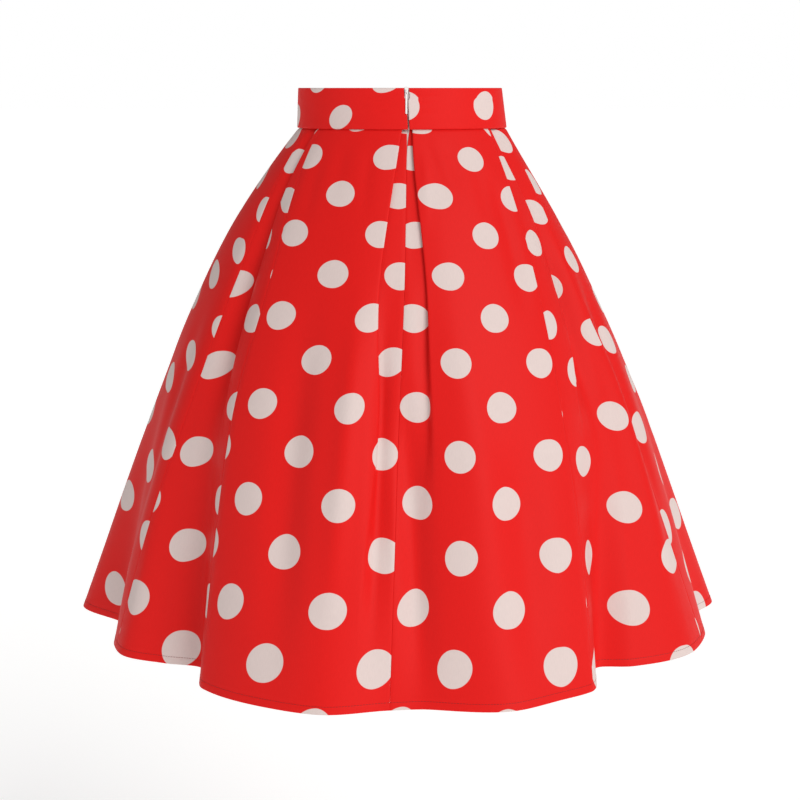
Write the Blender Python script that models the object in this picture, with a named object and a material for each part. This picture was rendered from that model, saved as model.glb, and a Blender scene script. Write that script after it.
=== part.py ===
"""Midi skirt with a plain waistband, pleats that open towards the hem, and a zip at the centre back.

The skirt keeps the hollow form it has when worn. Metres, +Z up. The origin is the centre of the
waist at half the height of the waistband. The centre back faces -Y, the wearer's right is +X.
"""
import math

import bmesh
import bpy
import numpy as np

# Heights of the garment
BAND_HEIGHT = 0.046
BAND_TOP = 0.5 * BAND_HEIGHT
SEAM_LEVEL = -0.5 * BAND_HEIGHT
SKIRT_DROP = 0.594
GAP = 0.0003

# Half width and half depth, at the top of the band, at the waist seam and at the hem
BAND_HALF_WIDTH = 0.1187
BAND_HALF_DEPTH = 0.0898
WAIST_HALF_WIDTH = 0.1228
WAIST_HALF_DEPTH = 0.0945
HEM_HALF_WIDTH = 0.3970
HEM_HALF_DEPTH = 0.3450

# How fast the skirt flares just below the waist: the first and second share beyond a straight cone
FLARE_SOFT = 0.18
FLARE_EARLY = 0.34

# The skirt hangs this far to the right of the origin at the waist and below it
LEAN_WAIST = 0.0022
LEAN_BODY = -0.0018
LEAN_FADE = 0.05

# Cloth
CLOTH_WALL = 0.0013
BAND_WALL = 0.0026
LAYER_PITCH = 0.0024
SEAM_GAP = 0.00034
BAND_COLUMNS = 72
ROWS = 15
ROW_GATHER = 1.25

# Five heights at which the tables below are given, as shares of the drop from waist seam to hem
STATIONS = np.linspace(0.0, 1.0, 5)

# Lines that run down the cloth. Turn is degrees round from the centre back, positive to the
# wearer's right. Push is millimetres out from the plain flared form. One value for each station.
LINES = (
    # name, turn, push
    ("left side crest", (-92.0, -91.0, -91.0, -91.0, -90.6), (0.0, 0.0, 0.0, 0.5, 1.0)),
    ("left side valley", (-84.0, -80.0, -79.5, -79.0, -78.5), (0.0, -1.0, -6.0, -24.0, -52.0)),
    ("left side turn", (-76.0, -71.0, -70.0, -69.0, -67.0), (0.0, -2.0, -5.0, -12.0, -26.0)),
    ("left side roll", (-71.0, -66.5, -65.5, -64.0, -62.0), (0.0, -3.0, -7.0, -14.0, -21.0)),
    ("left valley rise", (-65.0, -61.5, -60.5, -57.5, -53.5), (0.0, -6.0, -14.0, -30.0, -44.0)),
    ("left valley", (-60.0, -57.0, -55.5, -51.5, -46.8), (0.0, -8.0, -20.0, -42.0, -63.0)),
    ("left back roll", (-50.0, -44.5, -43.0, -40.5, -38.0), (0.0, 0.0, -3.0, -10.0, -16.0)),
    ("left back flat", (-30.0, -31.0, -30.0, -29.0, -27.0), (0.0, 0.0, 0.0, -1.0, -1.0)),
    ("left pleat roll", (-8.0, -14.0, -15.0, -15.0, -14.0), (0.0, 2.0, 5.0, 6.0, 7.0)),
    ("back seam", (4.6, 2.4, 0.3, -0.8, -1.6), (0.0, -1.0, -4.0, -8.0, -12.0)),
    ("back dip", (6.0, 5.5, 4.0, 3.2, 3.0), (0.0, -2.0, -6.0, -11.0, -14.0)),
    ("right pleat roll", (18.0, 18.0, 17.0, 18.0, 20.0), (0.0, 1.0, 3.0, 5.0, 6.0)),
    ("right back flat", (38.0, 32.0, 30.0, 30.0, 30.0), (0.0, 0.0, 0.0, -2.0, -5.0)),
    ("right back roll", (58.0, 47.0, 41.5, 39.0, 36.5), (0.0, 0.0, -2.0, -6.0, -10.0)),
    ("right valley", (66.0, 62.0, 59.5, 53.0, 46.8), (0.0, -8.0, -17.0, -42.0, -62.0)),
    ("right valley rise", (71.0, 66.5, 64.5, 58.5, 52.0), (0.0, -5.0, -12.0, -24.0, -38.0)),
    ("right side roll", (77.0, 72.0, 70.0, 68.0, 65.0), (0.0, -2.0, -4.0, -6.0, -8.0)),
    ("right side turn", (82.0, 77.0, 76.0, 75.0, 73.5), (0.0, -1.0, -3.0, -6.0, -11.0)),
    ("right side valley", (87.0, 84.0, 84.5, 84.5, 84.6), (0.0, -1.0, -4.0, -12.0, -27.0)),
    ("right side crest", (95.0, 94.0, 93.0, 93.0, 93.0), (0.0, 0.0, 0.5, 1.0, 2.5)),
    ("front right dip", (106.0, 106.0, 106.0, 105.0, 105.0), (0.0, -2.0, -9.0, -22.0, -38.0)),
    ("front right bulge", (115.0, 115.0, 115.5, 116.0, 116.0), (0.0, 0.0, 0.0, -2.0, -3.0)),
    ("front right valley", (123.0, 125.0, 126.0, 127.0, 128.0), (0.0, -8.0, -18.0, -36.0, -54.0)),
    ("front right roll", (132.0, 136.0, 137.5, 139.0, 140.0), (0.0, 0.0, -2.0, -6.0, -9.0)),
    ("front right flat", (156.0, 157.0, 158.0, 158.0, 157.0), (0.0, 1.0, 3.0, 5.0, 6.0)),
    ("front dip", (180.0, 180.5, 181.0, 181.5, 182.0), (0.0, -3.0, -7.0, -12.0, -17.0)),
    ("front left flat", (204.0, 203.0, 203.0, 202.0, 203.0), (0.0, 1.0, 3.0, 6.0, 7.0)),
    ("front left roll", (228.0, 224.0, 222.0, 220.5, 219.0), (0.0, 0.0, -2.0, -7.0, -12.0)),
    ("front left valley", (237.0, 235.0, 234.0, 233.0, 231.0), (0.0, -8.0, -18.0, -38.0, -58.0)),
    ("front left bulge", (245.0, 245.0, 244.0, 244.0, 243.0), (0.0, 0.0, 0.0, -2.0, -4.0)),
    ("front left dip", (256.0, 256.0, 256.0, 255.0, 256.0), (0.0, -2.0, -8.0, -20.0, -34.0)),
)

# Seams between the panels: turn in degrees at each station
BACK_SEAM = (4.6, 2.4, 0.3, -0.8, -1.6)
LEFT_BACK_SEAM = (-54.3, -46.3, -45.9, -42.6, -39.3)
LEFT_SIDE_SEAM = (-72.0, -64.3, -64.0, -65.0, -65.2)
RIGHT_BACK_SEAM = (60.9, 50.3, 44.5, 41.4, 37.2)
RIGHT_SIDE_SEAM = (84.0, 69.7, 70.2, 69.4, 70.4)
RIGHT_FRONT_SEAM = (130.6, 136.3, 136.6, 138.5, 140.2)
FRONT_SEAM = (180.0, 180.5, 181.0, 181.5, 182.0)
LEFT_FRONT_SEAM = (229.4, 223.7, 223.4, 221.5, 218.8)

# Folds. Turn is where the folded edge lies, under is the width of cloth folded under at the waist
# in millimetres, shuts is the share of the drop at which nothing is folded under any more, and
# faces is +1 where the cloth that comes out from under the edge lies at the larger turn.
FOLDS = {
    # name: (turn, under, shuts, faces)
    "back left": ((0.0, -6.2, -5.2, -6.3, -7.0), 26.0, 0.42, 1),
    "back right": ((7.4, 9.6, 8.4, 6.2, 5.0), 26.0, 0.32, -1),
    "left": ((-56.9, -52.6, -51.5, -48.6, -46.0), 26.0, 0.27, -1),
    "right": ((63.4, 58.6, 53.5, 48.0, 44.0), 26.0, 0.27, 1),
    "front right": ((128.0, 130.0, 131.0, 132.5, 133.5), 26.0, 0.28, -1),
    "front centre right": ((174.5, 173.0, 174.5, 175.5, 176.0), 26.0, 0.34, 1),
    "front centre left": ((185.5, 188.0, 187.5, 188.0, 188.5), 26.0, 0.38, -1),
    "front left": ((232.0, 230.0, 229.0, 227.5, 225.5), 26.0, 0.28, 1),
}

# The two folds of each box pleat
BACK_PLEAT = ("back left", "back right")
FRONT_PLEAT = ("front centre right", "front centre left")

# A fold in plan is an S of two arcs and a straight run between them. Shut, each arc turns the
# cloth right round and three layers lie a pitch apart. Open, it is a shallow step that fades out.
SHUT_ANGLE = 180.0
STEP_ANGLE = 75.0
OPEN_ANGLE = 10.0
SHUT_RADIUS = 0.5 * LAYER_PITCH
STEP_RADIUS = 0.0024
OPEN_RADIUS = 0.0100
OPEN_RUN = 0.0100
FOLD_SPREAD_WAIST = 0.006
FOLD_SPREAD_HEM = 0.014

# Zip
ZIP_DROP = 0.155
ZIP_TAPE_WIDTH = 0.026
ZIP_TAPE_WALL = 0.0010
ZIP_TAPE_TOP = BAND_TOP - 0.0008
ZIP_TAPE_BAND_DEPTH = 0.0022
ZIP_TAPE_SKIRT_DEPTH = 0.0067
ZIP_TAPE_BEND_TOP = 0.010
ZIP_TAPE_COLUMNS = 7
ZIP_TAPE_BAND_ROWS = 5
ZIP_TAPE_SKIRT_ROWS = 8
SLIT_WAIST = 0.0030
SLIT_WAIST_FADE = 0.035
SLIT_BAND = 0.0016
SLIT_SLIDER = 0.0056
SLIT_WIDE_FOOT = BAND_TOP - 0.0108
SLIT_NARROW_TOP = BAND_TOP - 0.0140
SLIDER_WIDTH = 0.0046
SLIDER_HEIGHT = 0.0088
SLIDER_DEPTH = 0.0030
SLIDER_TOP = BAND_TOP + 0.0012
BRIDGE_WIDTH = 0.0011
BRIDGE_BAR = 0.0007
BRIDGE_HOLE = 0.0016
BRIDGE_ROOT = 0.0006
SLIDER_ROUNDING = 0.0005
BRIDGE_ROUNDING = 0.0003
PULL_WIDTH = 0.0026
PULL_LENGTH = 0.0262
PULL_WALL = 0.0008
PULL_RAIL = 0.0005
PULL_BAR = 0.0008
PULL_EYE = 0.0034

CLOTH_PIECES = (
    "waistband",
    "back_left",
    "back_right",
    "side_left",
    "side_right",
    "side_front_left",
    "side_front_right",
    "front_left",
    "front_right",
)
RED = (0.72, 0.020, 0.016, 1.0)
WHITE = (0.82, 0.80, 0.78, 1.0)


def clear_scene():
    for item in list(bpy.data.objects):
        bpy.data.objects.remove(item, do_unlink=True)


def material(name, colour, roughness, metallic=0.0):
    made = bpy.data.materials.new(name)
    made.use_nodes = True
    shader = made.node_tree.nodes["Principled BSDF"]
    shader.inputs["Base Color"].default_value = colour
    shader.inputs["Roughness"].default_value = roughness
    shader.inputs["Metallic"].default_value = metallic
    return made


def at_height(values, fall):
    """A value given at the stations, as a smooth curve of the fall from waist seam to hem."""
    values = np.asarray(values, dtype=float)
    slopes = np.gradient(values, STATIONS)
    step = STATIONS[1]
    first = np.clip((fall / step).astype(int), 0, len(values) - 2)
    part = fall / step - first
    rise = values[first + 1] - values[first]
    start = slopes[first] * step
    end = slopes[first + 1] * step
    return (values[first] + start * part + (3.0 * rise - 2.0 * start - end) * part ** 2
            + (start + end - 2.0 * rise) * part ** 3)


def ease(low, high, value):
    """Runs smoothly from 0 at low to 1 at high."""
    part = np.clip((value - low) / (high - low), 0.0, 1.0)
    return part * part * (3.0 - 2.0 * part)


def flare(fall):
    """Share of the way from the waist's size to the hem's."""
    left = 1.0 - fall
    return fall * (1.0 + left * (FLARE_SOFT + FLARE_EARLY * left))


def lean(fall):
    return LEAN_BODY + (LEAN_WAIST - LEAN_BODY) * np.exp(-fall / LEAN_FADE)


def half_sizes(fall):
    """Half width and half depth of the plain form."""
    share = flare(fall)
    width = WAIST_HALF_WIDTH + (HEM_HALF_WIDTH - WAIST_HALF_WIDTH) * share
    depth = WAIST_HALF_DEPTH + (HEM_HALF_DEPTH - WAIST_HALF_DEPTH) * share
    return width, depth


def oval_radius(turn, width, depth):
    return 1.0 / np.sqrt((np.sin(turn) / width) ** 2 + (np.cos(turn) / depth) ** 2)


def oval_speed(turn, width, depth):
    """Metres along the oval for each radian of turn."""
    small = 1e-4
    radius = oval_radius(turn, width, depth)
    change = (oval_radius(turn + small, width, depth) - radius) / small
    return np.hypot(radius, change)


def push_out(turn, fall):
    """How far the lines push the cloth out, by a smooth curve round each height that has no
    more highs and lows than the lines themselves. Turn has a row for each fall."""
    knots = np.stack([at_height(line[1], fall) for line in LINES], axis=1)
    pushes = np.stack([at_height(line[2], fall) for line in LINES], axis=1) / 1000.0
    knots = np.concatenate([knots[:, -2:] - 360.0, knots, knots[:, :2] + 360.0], axis=1)
    pushes = np.concatenate([pushes[:, -2:], pushes, pushes[:, :2]], axis=1)
    spans = np.diff(knots, axis=1)
    grades = np.diff(pushes, axis=1) / spans
    before, after = grades[:, :-1], grades[:, 1:]
    agree = before * after > 0.0
    mean = 2.0 * before * after / np.where(agree, before + after, 1.0)
    slopes = np.zeros_like(knots)
    slopes[:, 1:-1] = np.where(agree, mean, 0.0)
    degrees = (np.degrees(turn) + 92.0) % 360.0 - 92.0
    first = np.sum(degrees[:, :, None] >= knots[:, None, :], axis=2) - 1
    first = np.clip(first, 0, spans.shape[1] - 1)

    def pick(table, index):
        return np.take_along_axis(table, index, axis=1)

    span = pick(spans, first)
    part = (degrees - pick(knots, first)) / span
    start = pick(slopes, first) * span
    end = pick(slopes, first + 1) * span
    low = pick(pushes, first)
    rise = pick(pushes, first + 1) - low
    return (low + start * part + (3.0 * rise - 2.0 * start - end) * part ** 2
            + (start + end - 2.0 * rise) * part ** 3)


def plan(turn, depth, fall):
    """Points of the cloth's middle, depth metres inside the outermost layer."""
    width, half_depth = half_sizes(fall[:, None])
    radius = oval_radius(turn, width, half_depth) + push_out(turn, fall) - depth
    across = radius * np.sin(turn) + lean(fall[:, None])
    return np.stack([across, -radius * np.cos(turn)], axis=2)


def seam_line(turns, fall, shift=0.0):
    """Turn of a seam at each row, shifted by some metres along the cloth."""
    turn = np.radians(at_height(turns, fall))[:, None]
    width, half_depth = half_sizes(fall[:, None])
    return turn + shift / oval_speed(turn, width, half_depth)


def fold_shape(name, fall):
    """Place across and depth of a fold's nine columns at each height, from its top layer to the
    cloth that comes out below. The S is symmetric about the middle of its straight run."""
    _, under, shuts, _ = FOLDS[name]
    stepping = ease(0.85 * shuts, 1.60 * shuts, fall)
    opening = ease(1.40 * shuts, 2.30 * shuts, fall)
    angle = np.radians(SHUT_ANGLE + (STEP_ANGLE - SHUT_ANGLE) * stepping)
    angle = angle + (math.radians(OPEN_ANGLE) - angle) * opening
    radius = SHUT_RADIUS + (STEP_RADIUS - SHUT_RADIUS) * stepping
    radius = radius + (OPEN_RADIUS - radius) * opening
    run = np.maximum(under / 1000.0 * (1.0 - fall / shuts), LAYER_PITCH)
    run = run + (OPEN_RUN - run) * opening
    half_arc = np.stack([radius * np.sin(0.5 * angle), radius * (1.0 - np.cos(0.5 * angle))])
    arc = np.stack([radius * np.sin(angle), radius * (1.0 - np.cos(angle))])
    centre = arc + 0.5 * run * np.stack([np.cos(angle), np.sin(angle)])
    start = np.zeros_like(centre)
    curve = [start, half_arc, arc, centre, 2.0 * centre - arc, 2.0 * centre - half_arc,
             2.0 * centre]
    foot = curve[-1]
    shut_edge = radius * np.sin(np.minimum(angle, 0.5 * math.pi))
    shutness = np.clip((angle - 0.5 * math.pi) / (0.5 * math.pi), 0.0, 1.0)
    edge = centre[0] + (shut_edge - centre[0]) * shutness
    spread = FOLD_SPREAD_WAIST + (FOLD_SPREAD_HEM - FOLD_SPREAD_WAIST) * fall
    beyond = np.stack([np.hypot(np.minimum(foot[0] - edge, 0.0), spread), np.zeros_like(fall)])
    curve += [foot + 0.5 * beyond, foot + beyond]
    place = np.stack([point[0] - edge for point in curve], axis=1)
    depth = np.stack([point[1] for point in curve], axis=1)
    return place, depth * (1.0 - opening)[:, None]


def fold_columns(name, fall):
    """Turn and depth of a fold's columns, in the order of their turns when it lies open."""
    turns, _, _, faces = FOLDS[name]
    edge = np.radians(at_height(turns, fall))[:, None]
    width, half_depth = half_sizes(fall[:, None])
    place, depth = fold_shape(name, fall)
    turn = edge + faces * place / oval_speed(edge, width, half_depth)
    if faces < 0:
        return turn[:, ::-1], depth[:, ::-1]
    return turn, depth


def between(low, high, count):
    """Columns spaced evenly between two edges, each given as its turn and depth."""
    parts = (np.arange(count) + 1.0) / (count + 1.0)
    turn = low[0] + (high[0] - low[0]) * parts
    depth = low[1] + (high[1] - low[1]) * ease(0.0, 1.0, parts)
    return turn, depth


def lay_columns(parts, fall):
    """Joins edges, folds and counts of plain columns into one run across a panel."""
    turns = []
    depths = []
    for index, item in enumerate(parts):
        if isinstance(item, int):
            low = parts[index - 1]
            high = parts[index + 1]
            item = between((low[0][:, -1:], low[1][:, -1:]), (high[0][:, :1], high[1][:, :1]), item)
        turns.append(item[0])
        depths.append(item[1])
    return np.concatenate(turns, axis=1), np.concatenate(depths, axis=1)


def edge_at(turns, fall, side, depth=None, slit=None):
    """A panel's edge at a seam: half the seam's gap to one side of it."""
    shift = 0.5 * side * SEAM_GAP
    if slit is not None:
        shift = shift + 0.5 * side * slit[:, None]
    turn = seam_line(turns, fall, shift)
    if depth is None:
        depth = np.zeros_like(turn)
    return turn, depth


def recess_depth(folds, fall):
    """Depth of a seam in a box pleat: midway between the lowest layers of the folds beside it."""
    first, second = [fold_shape(name, fall)[1][:, -1:] for name in folds]
    return 0.5 * (first + second)


def plan_normals(points):
    """Unit normals of each row's curve, to the left of its run."""
    along = np.gradient(points, axis=1)
    normal = np.stack([along[:, :, 1], -along[:, :, 0]], axis=2)
    return normal / np.linalg.norm(normal, axis=2, keepdims=True)


def wall_mesh(name, middle, normals, levels, wall, finish):
    """A closed wall round a grid of middle points: both faces and the four edges."""
    rows, columns = middle.shape[:2]
    outer = middle + 0.5 * wall * normals
    inner = middle - 0.5 * wall * normals
    flat = np.concatenate([outer.reshape(-1, 2), inner.reshape(-1, 2)])
    height = np.tile(np.repeat(levels, columns), 2)
    points = np.column_stack([flat, height])
    grid = np.arange(rows * columns).reshape(rows, columns)
    back = grid + rows * columns
    faces = []
    faces += quads(grid[1:, :-1], grid[1:, 1:], grid[:-1, 1:], grid[:-1, :-1])
    faces += quads(back[:-1, :-1], back[:-1, 1:], back[1:, 1:], back[1:, :-1])
    faces += quads(grid[0, :-1], grid[0, 1:], back[0, 1:], back[0, :-1])
    faces += quads(back[-1, :-1], back[-1, 1:], grid[-1, 1:], grid[-1, :-1])
    faces += quads(grid[1:, 0], grid[:-1, 0], back[:-1, 0], back[1:, 0])
    faces += quads(back[1:, -1], back[:-1, -1], grid[:-1, -1], grid[1:, -1])
    return mesh_object(name, points, faces, finish)


def quads(first, second, third, fourth):
    return np.stack([np.ravel(first), np.ravel(second), np.ravel(third), np.ravel(fourth)],
                    axis=1).tolist()


def mesh_object(name, points, faces, finish):
    mesh = bpy.data.meshes.new(name)
    mesh.from_pydata(np.asarray(points).tolist(), [], faces)
    mesh.update()
    work = bmesh.new()
    work.from_mesh(mesh)
    bmesh.ops.recalc_face_normals(work, faces=work.faces)
    work.to_mesh(mesh)
    work.free()
    mesh.materials.append(finish)
    mesh.shade_smooth()
    mesh.set_sharp_from_angle(angle=math.radians(40.0))
    made = bpy.data.objects.new(name, mesh)
    bpy.context.collection.objects.link(made)
    return made


def panel(name, parts, fall, levels, finish):
    turn, depth = lay_columns(parts, fall)
    middle = plan(turn, depth, fall)
    return wall_mesh(name, middle, plan_normals(middle), levels, CLOTH_WALL, finish)


def skirt_rows():
    """Falls of the rows, closer together near the waist, and their heights."""
    fall = (np.arange(ROWS + 1) / ROWS) ** ROW_GATHER
    levels = SEAM_LEVEL - GAP - (SKIRT_DROP - GAP) * fall
    return fall, levels


def make_back_left(fall, levels, finish):
    slit = SLIT_WAIST * np.clip(1.0 - fall / SLIT_WAIST_FADE, 0.0, 1.0)
    parts = [
        edge_at(LEFT_BACK_SEAM, fall, 1),
        12,
        fold_columns("back left", fall),
        1,
        edge_at(BACK_SEAM, fall, -1, recess_depth(BACK_PLEAT, fall), slit),
    ]
    return panel("back_left", parts, fall, levels, finish)


def make_back_right(fall, levels, finish):
    slit = SLIT_WAIST * np.clip(1.0 - fall / SLIT_WAIST_FADE, 0.0, 1.0)
    parts = [
        edge_at(BACK_SEAM, fall, 1, recess_depth(BACK_PLEAT, fall), slit),
        1,
        fold_columns("back right", fall),
        12,
        edge_at(RIGHT_BACK_SEAM, fall, -1),
    ]
    return panel("back_right", parts, fall, levels, finish)


def make_side_left(fall, levels, finish):
    parts = [
        edge_at(LEFT_SIDE_SEAM, fall, 1),
        5,
        fold_columns("left", fall),
        1,
        edge_at(LEFT_BACK_SEAM, fall, -1),
    ]
    return panel("side_left", parts, fall, levels, finish)


def make_side_right(fall, levels, finish):
    parts = [
        edge_at(RIGHT_BACK_SEAM, fall, 1),
        1,
        fold_columns("right", fall),
        5,
        edge_at(RIGHT_SIDE_SEAM, fall, -1),
    ]
    return panel("side_right", parts, fall, levels, finish)


def make_side_front_right(fall, levels, finish):
    parts = [
        edge_at(RIGHT_SIDE_SEAM, fall, 1),
        13,
        fold_columns("front right", fall),
        1,
        edge_at(RIGHT_FRONT_SEAM, fall, -1),
    ]
    return panel("side_front_right", parts, fall, levels, finish)


def make_front_right(fall, levels, finish):
    parts = [
        edge_at(RIGHT_FRONT_SEAM, fall, 1),
        9,
        fold_columns("front centre right", fall),
        1,
        edge_at(FRONT_SEAM, fall, -1, recess_depth(FRONT_PLEAT, fall)),
    ]
    return panel("front_right", parts, fall, levels, finish)


def make_front_left(fall, levels, finish):
    parts = [
        edge_at(FRONT_SEAM, fall, 1, recess_depth(FRONT_PLEAT, fall)),
        1,
        fold_columns("front centre left", fall),
        9,
        edge_at(LEFT_FRONT_SEAM, fall, -1),
    ]
    return panel("front_left", parts, fall, levels, finish)


def make_side_front_left(fall, levels, finish):
    left_seam = tuple(turn + 360.0 for turn in LEFT_SIDE_SEAM)
    parts = [
        edge_at(LEFT_FRONT_SEAM, fall, 1),
        1,
        fold_columns("front left", fall),
        14,
        edge_at(left_seam, fall, -1),
    ]
    return panel("side_front_left", parts, fall, levels, finish)


def band_sizes(level):
    """Half width, half depth and lean of the waistband's middle at a height."""
    down = (BAND_TOP - level) / BAND_HEIGHT
    width = BAND_HALF_WIDTH + (WAIST_HALF_WIDTH - BAND_HALF_WIDTH) * down
    depth = BAND_HALF_DEPTH + (WAIST_HALF_DEPTH - BAND_HALF_DEPTH) * down
    return width, depth, LEAN_WAIST * down


def band_point(turn, level, inside):
    width, depth, shift = band_sizes(level)
    radius = oval_radius(turn, width, depth) - inside
    return np.stack([radius * np.sin(turn) + shift, -radius * np.cos(turn)], axis=-1)


def zip_turn():
    return math.radians(BACK_SEAM[0])


def make_waistband(finish):
    """A strip once round the waist, slit at the centre back, wider round the slider."""
    levels = np.array([BAND_TOP, SLIT_WIDE_FOOT, SLIT_NARROW_TOP, SEAM_LEVEL])
    slits = np.array([SLIT_SLIDER, SLIT_SLIDER, SLIT_BAND, SLIT_BAND])
    half = (0.5 * slits / BAND_HALF_DEPTH)[:, None]
    parts = np.linspace(0.0, 1.0, BAND_COLUMNS + 1)
    turn = zip_turn() + half + (2.0 * math.pi - 2.0 * half) * parts
    middle = band_point(turn, levels[:, None], 0.0)
    return wall_mesh("waistband", middle, plan_normals(middle), levels, BAND_WALL, finish)


def zip_depth(level):
    """How far the zip tape's middle lies inside the cloth's outermost layer."""
    share = ease(0.0, 1.0, (ZIP_TAPE_BEND_TOP - level) / (ZIP_TAPE_BEND_TOP - SEAM_LEVEL))
    return ZIP_TAPE_BAND_DEPTH + (ZIP_TAPE_SKIRT_DEPTH - ZIP_TAPE_BAND_DEPTH) * share


def make_zip_tape(finish):
    """A narrow strip behind the slit, from the top of the band down behind the centre back."""
    bend = np.linspace(ZIP_TAPE_BEND_TOP, SEAM_LEVEL, ZIP_TAPE_BAND_ROWS)
    band_levels = np.concatenate([[ZIP_TAPE_TOP], bend])
    fall = np.linspace(0.0, ZIP_DROP / SKIRT_DROP, ZIP_TAPE_SKIRT_ROWS + 1)[1:]
    skirt_levels = SEAM_LEVEL - SKIRT_DROP * fall
    places = np.linspace(-0.5, 0.5, ZIP_TAPE_COLUMNS) * ZIP_TAPE_WIDTH
    band_turn = zip_turn() + places / BAND_HALF_DEPTH + np.zeros((len(band_levels), 1))
    band_middle = band_point(band_turn, band_levels[:, None], zip_depth(band_levels)[:, None])
    skirt_turn = seam_line(BACK_SEAM, fall, places)
    skirt_middle = plan(skirt_turn, ZIP_TAPE_SKIRT_DEPTH + np.zeros_like(skirt_turn), fall)
    middle = np.concatenate([band_middle, skirt_middle])
    levels = np.concatenate([band_levels, skirt_levels])
    return wall_mesh("zip_tape", middle, plan_normals(middle), levels, ZIP_TAPE_WALL, finish)


def slider_face():
    """Place of the middle of the slider's front: across, out, and the middle of its height."""
    level = SLIDER_TOP - 0.5 * SLIDER_HEIGHT
    back = band_point(np.array(zip_turn()), BAND_TOP, 0.0)
    return float(back[0]), float(back[1]), level


def block(low, high):
    """Corner points and faces of a box between two corners."""
    corners = [(x, y, z) for x in (low[0], high[0]) for y in (low[1], high[1])
               for z in (low[2], high[2])]
    faces = [(0, 1, 3, 2), (4, 6, 7, 5), (0, 4, 5, 1), (2, 3, 7, 6), (0, 2, 6, 4), (1, 5, 7, 3)]
    return corners, faces


def box_object(name, low, high, finish, bevel=0.0):
    points, faces = block(low, high)
    made = mesh_object(name, points, faces, finish)
    if bevel > 0.0:
        rounding = made.modifiers.new("soft edges", "BEVEL")
        rounding.width = bevel
        rounding.segments = 2
    return made


def pull_pivot():
    """Centre of the pull tab's cross bar, in the hole of the slider's bridge."""
    across, out, level = slider_face()
    return across, out - SLIDER_DEPTH * 0.5 - 0.5 * BRIDGE_HOLE, level


def make_zip_slider(finish):
    """A small body in the slit with a bridge on its front that carries the pull tab."""
    across, out, level = slider_face()
    front = out - 0.5 * SLIDER_DEPTH
    foot = band_point(np.array(zip_turn()), level - 0.5 * SLIDER_HEIGHT, ZIP_TAPE_BAND_DEPTH)
    back = float(foot[1]) - 0.5 * ZIP_TAPE_WALL - GAP
    body = box_object(
        "zip_slider",
        (across - 0.5 * SLIDER_WIDTH, front, level - 0.5 * SLIDER_HEIGHT),
        (across + 0.5 * SLIDER_WIDTH, back, level + 0.5 * SLIDER_HEIGHT),
        finish, SLIDER_ROUNDING)
    half_height = 0.5 * BRIDGE_HOLE + BRIDGE_BAR
    bridge = box_object(
        "bridge_shape",
        (across - 0.5 * BRIDGE_WIDTH, front - BRIDGE_HOLE - BRIDGE_BAR, level - half_height),
        (across + 0.5 * BRIDGE_WIDTH, front + BRIDGE_ROOT, level + half_height),
        finish, BRIDGE_ROUNDING)
    hole = box_object(
        "bridge_hole",
        (across - BRIDGE_WIDTH, front - BRIDGE_HOLE, level - 0.5 * BRIDGE_HOLE),
        (across + BRIDGE_WIDTH, front, level + 0.5 * BRIDGE_HOLE),
        finish)
    for guide, step in ((bridge, "UNION"), (hole, "DIFFERENCE")):
        guide.hide_render = True
        guide.display_type = "WIRE"
        cut = body.modifiers.new(guide.name, "BOOLEAN")
        cut.operation = step
        cut.object = guide
    return body


def make_zip_pull(finish):
    """A thin strip with an eye at its top. It leans on the waistband below the slider."""
    half = 0.5 * PULL_WIDTH
    eye = half - PULL_RAIL
    top = 0.5 * PULL_WALL
    eye_top = top - PULL_BAR
    eye_foot = eye_top - PULL_EYE
    foot = top - PULL_LENGTH
    outline = [(-half, top), (half, top), (half, foot + half), (0.6 * half, foot + 0.3 * half),
               (0.0, foot), (-0.6 * half, foot + 0.3 * half), (-half, foot + half)]
    opening = [(-eye, eye_top), (eye, eye_top), (eye, eye_foot), (-eye, eye_foot)]
    work = bmesh.new()
    rings = []
    for points in (outline, opening):
        ring = [work.verts.new((x, -0.5 * PULL_WALL, z)) for x, z in points]
        edges = [work.edges.new((ring[i], ring[(i + 1) % len(ring)])) for i in range(len(ring))]
        rings.extend(edges)
    filled = bmesh.ops.triangle_fill(work, use_beauty=True, edges=rings)
    faces = [item for item in filled["geom"] if isinstance(item, bmesh.types.BMFace)]
    raised = bmesh.ops.extrude_face_region(work, geom=faces)
    moved = [item for item in raised["geom"] if isinstance(item, bmesh.types.BMVert)]
    bmesh.ops.translate(work, verts=moved, vec=(0.0, PULL_WALL, 0.0))
    bmesh.ops.recalc_face_normals(work, faces=work.faces)
    mesh = bpy.data.meshes.new("zip_pull")
    work.to_mesh(mesh)
    work.free()
    mesh.materials.append(finish)
    made = bpy.data.objects.new("zip_pull", mesh)
    bpy.context.collection.objects.link(made)
    made.location = pull_pivot()
    made.rotation_euler = (-pull_lean(), 0.0, 0.0)
    return made


def pull_lean():
    """Angle from straight down at which the tab's foot clears the waistband."""
    _, out, level = pull_pivot()
    foot_level = level - PULL_LENGTH
    width, depth, _ = band_sizes(foot_level)
    radius = oval_radius(np.array(zip_turn()), width, depth)
    face = -float(radius) * math.cos(zip_turn()) - 0.5 * BAND_WALL
    reach = out - (face - GAP - 0.5 * PULL_WALL)
    return math.atan2(max(reach, 0.0), PULL_LENGTH)


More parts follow.
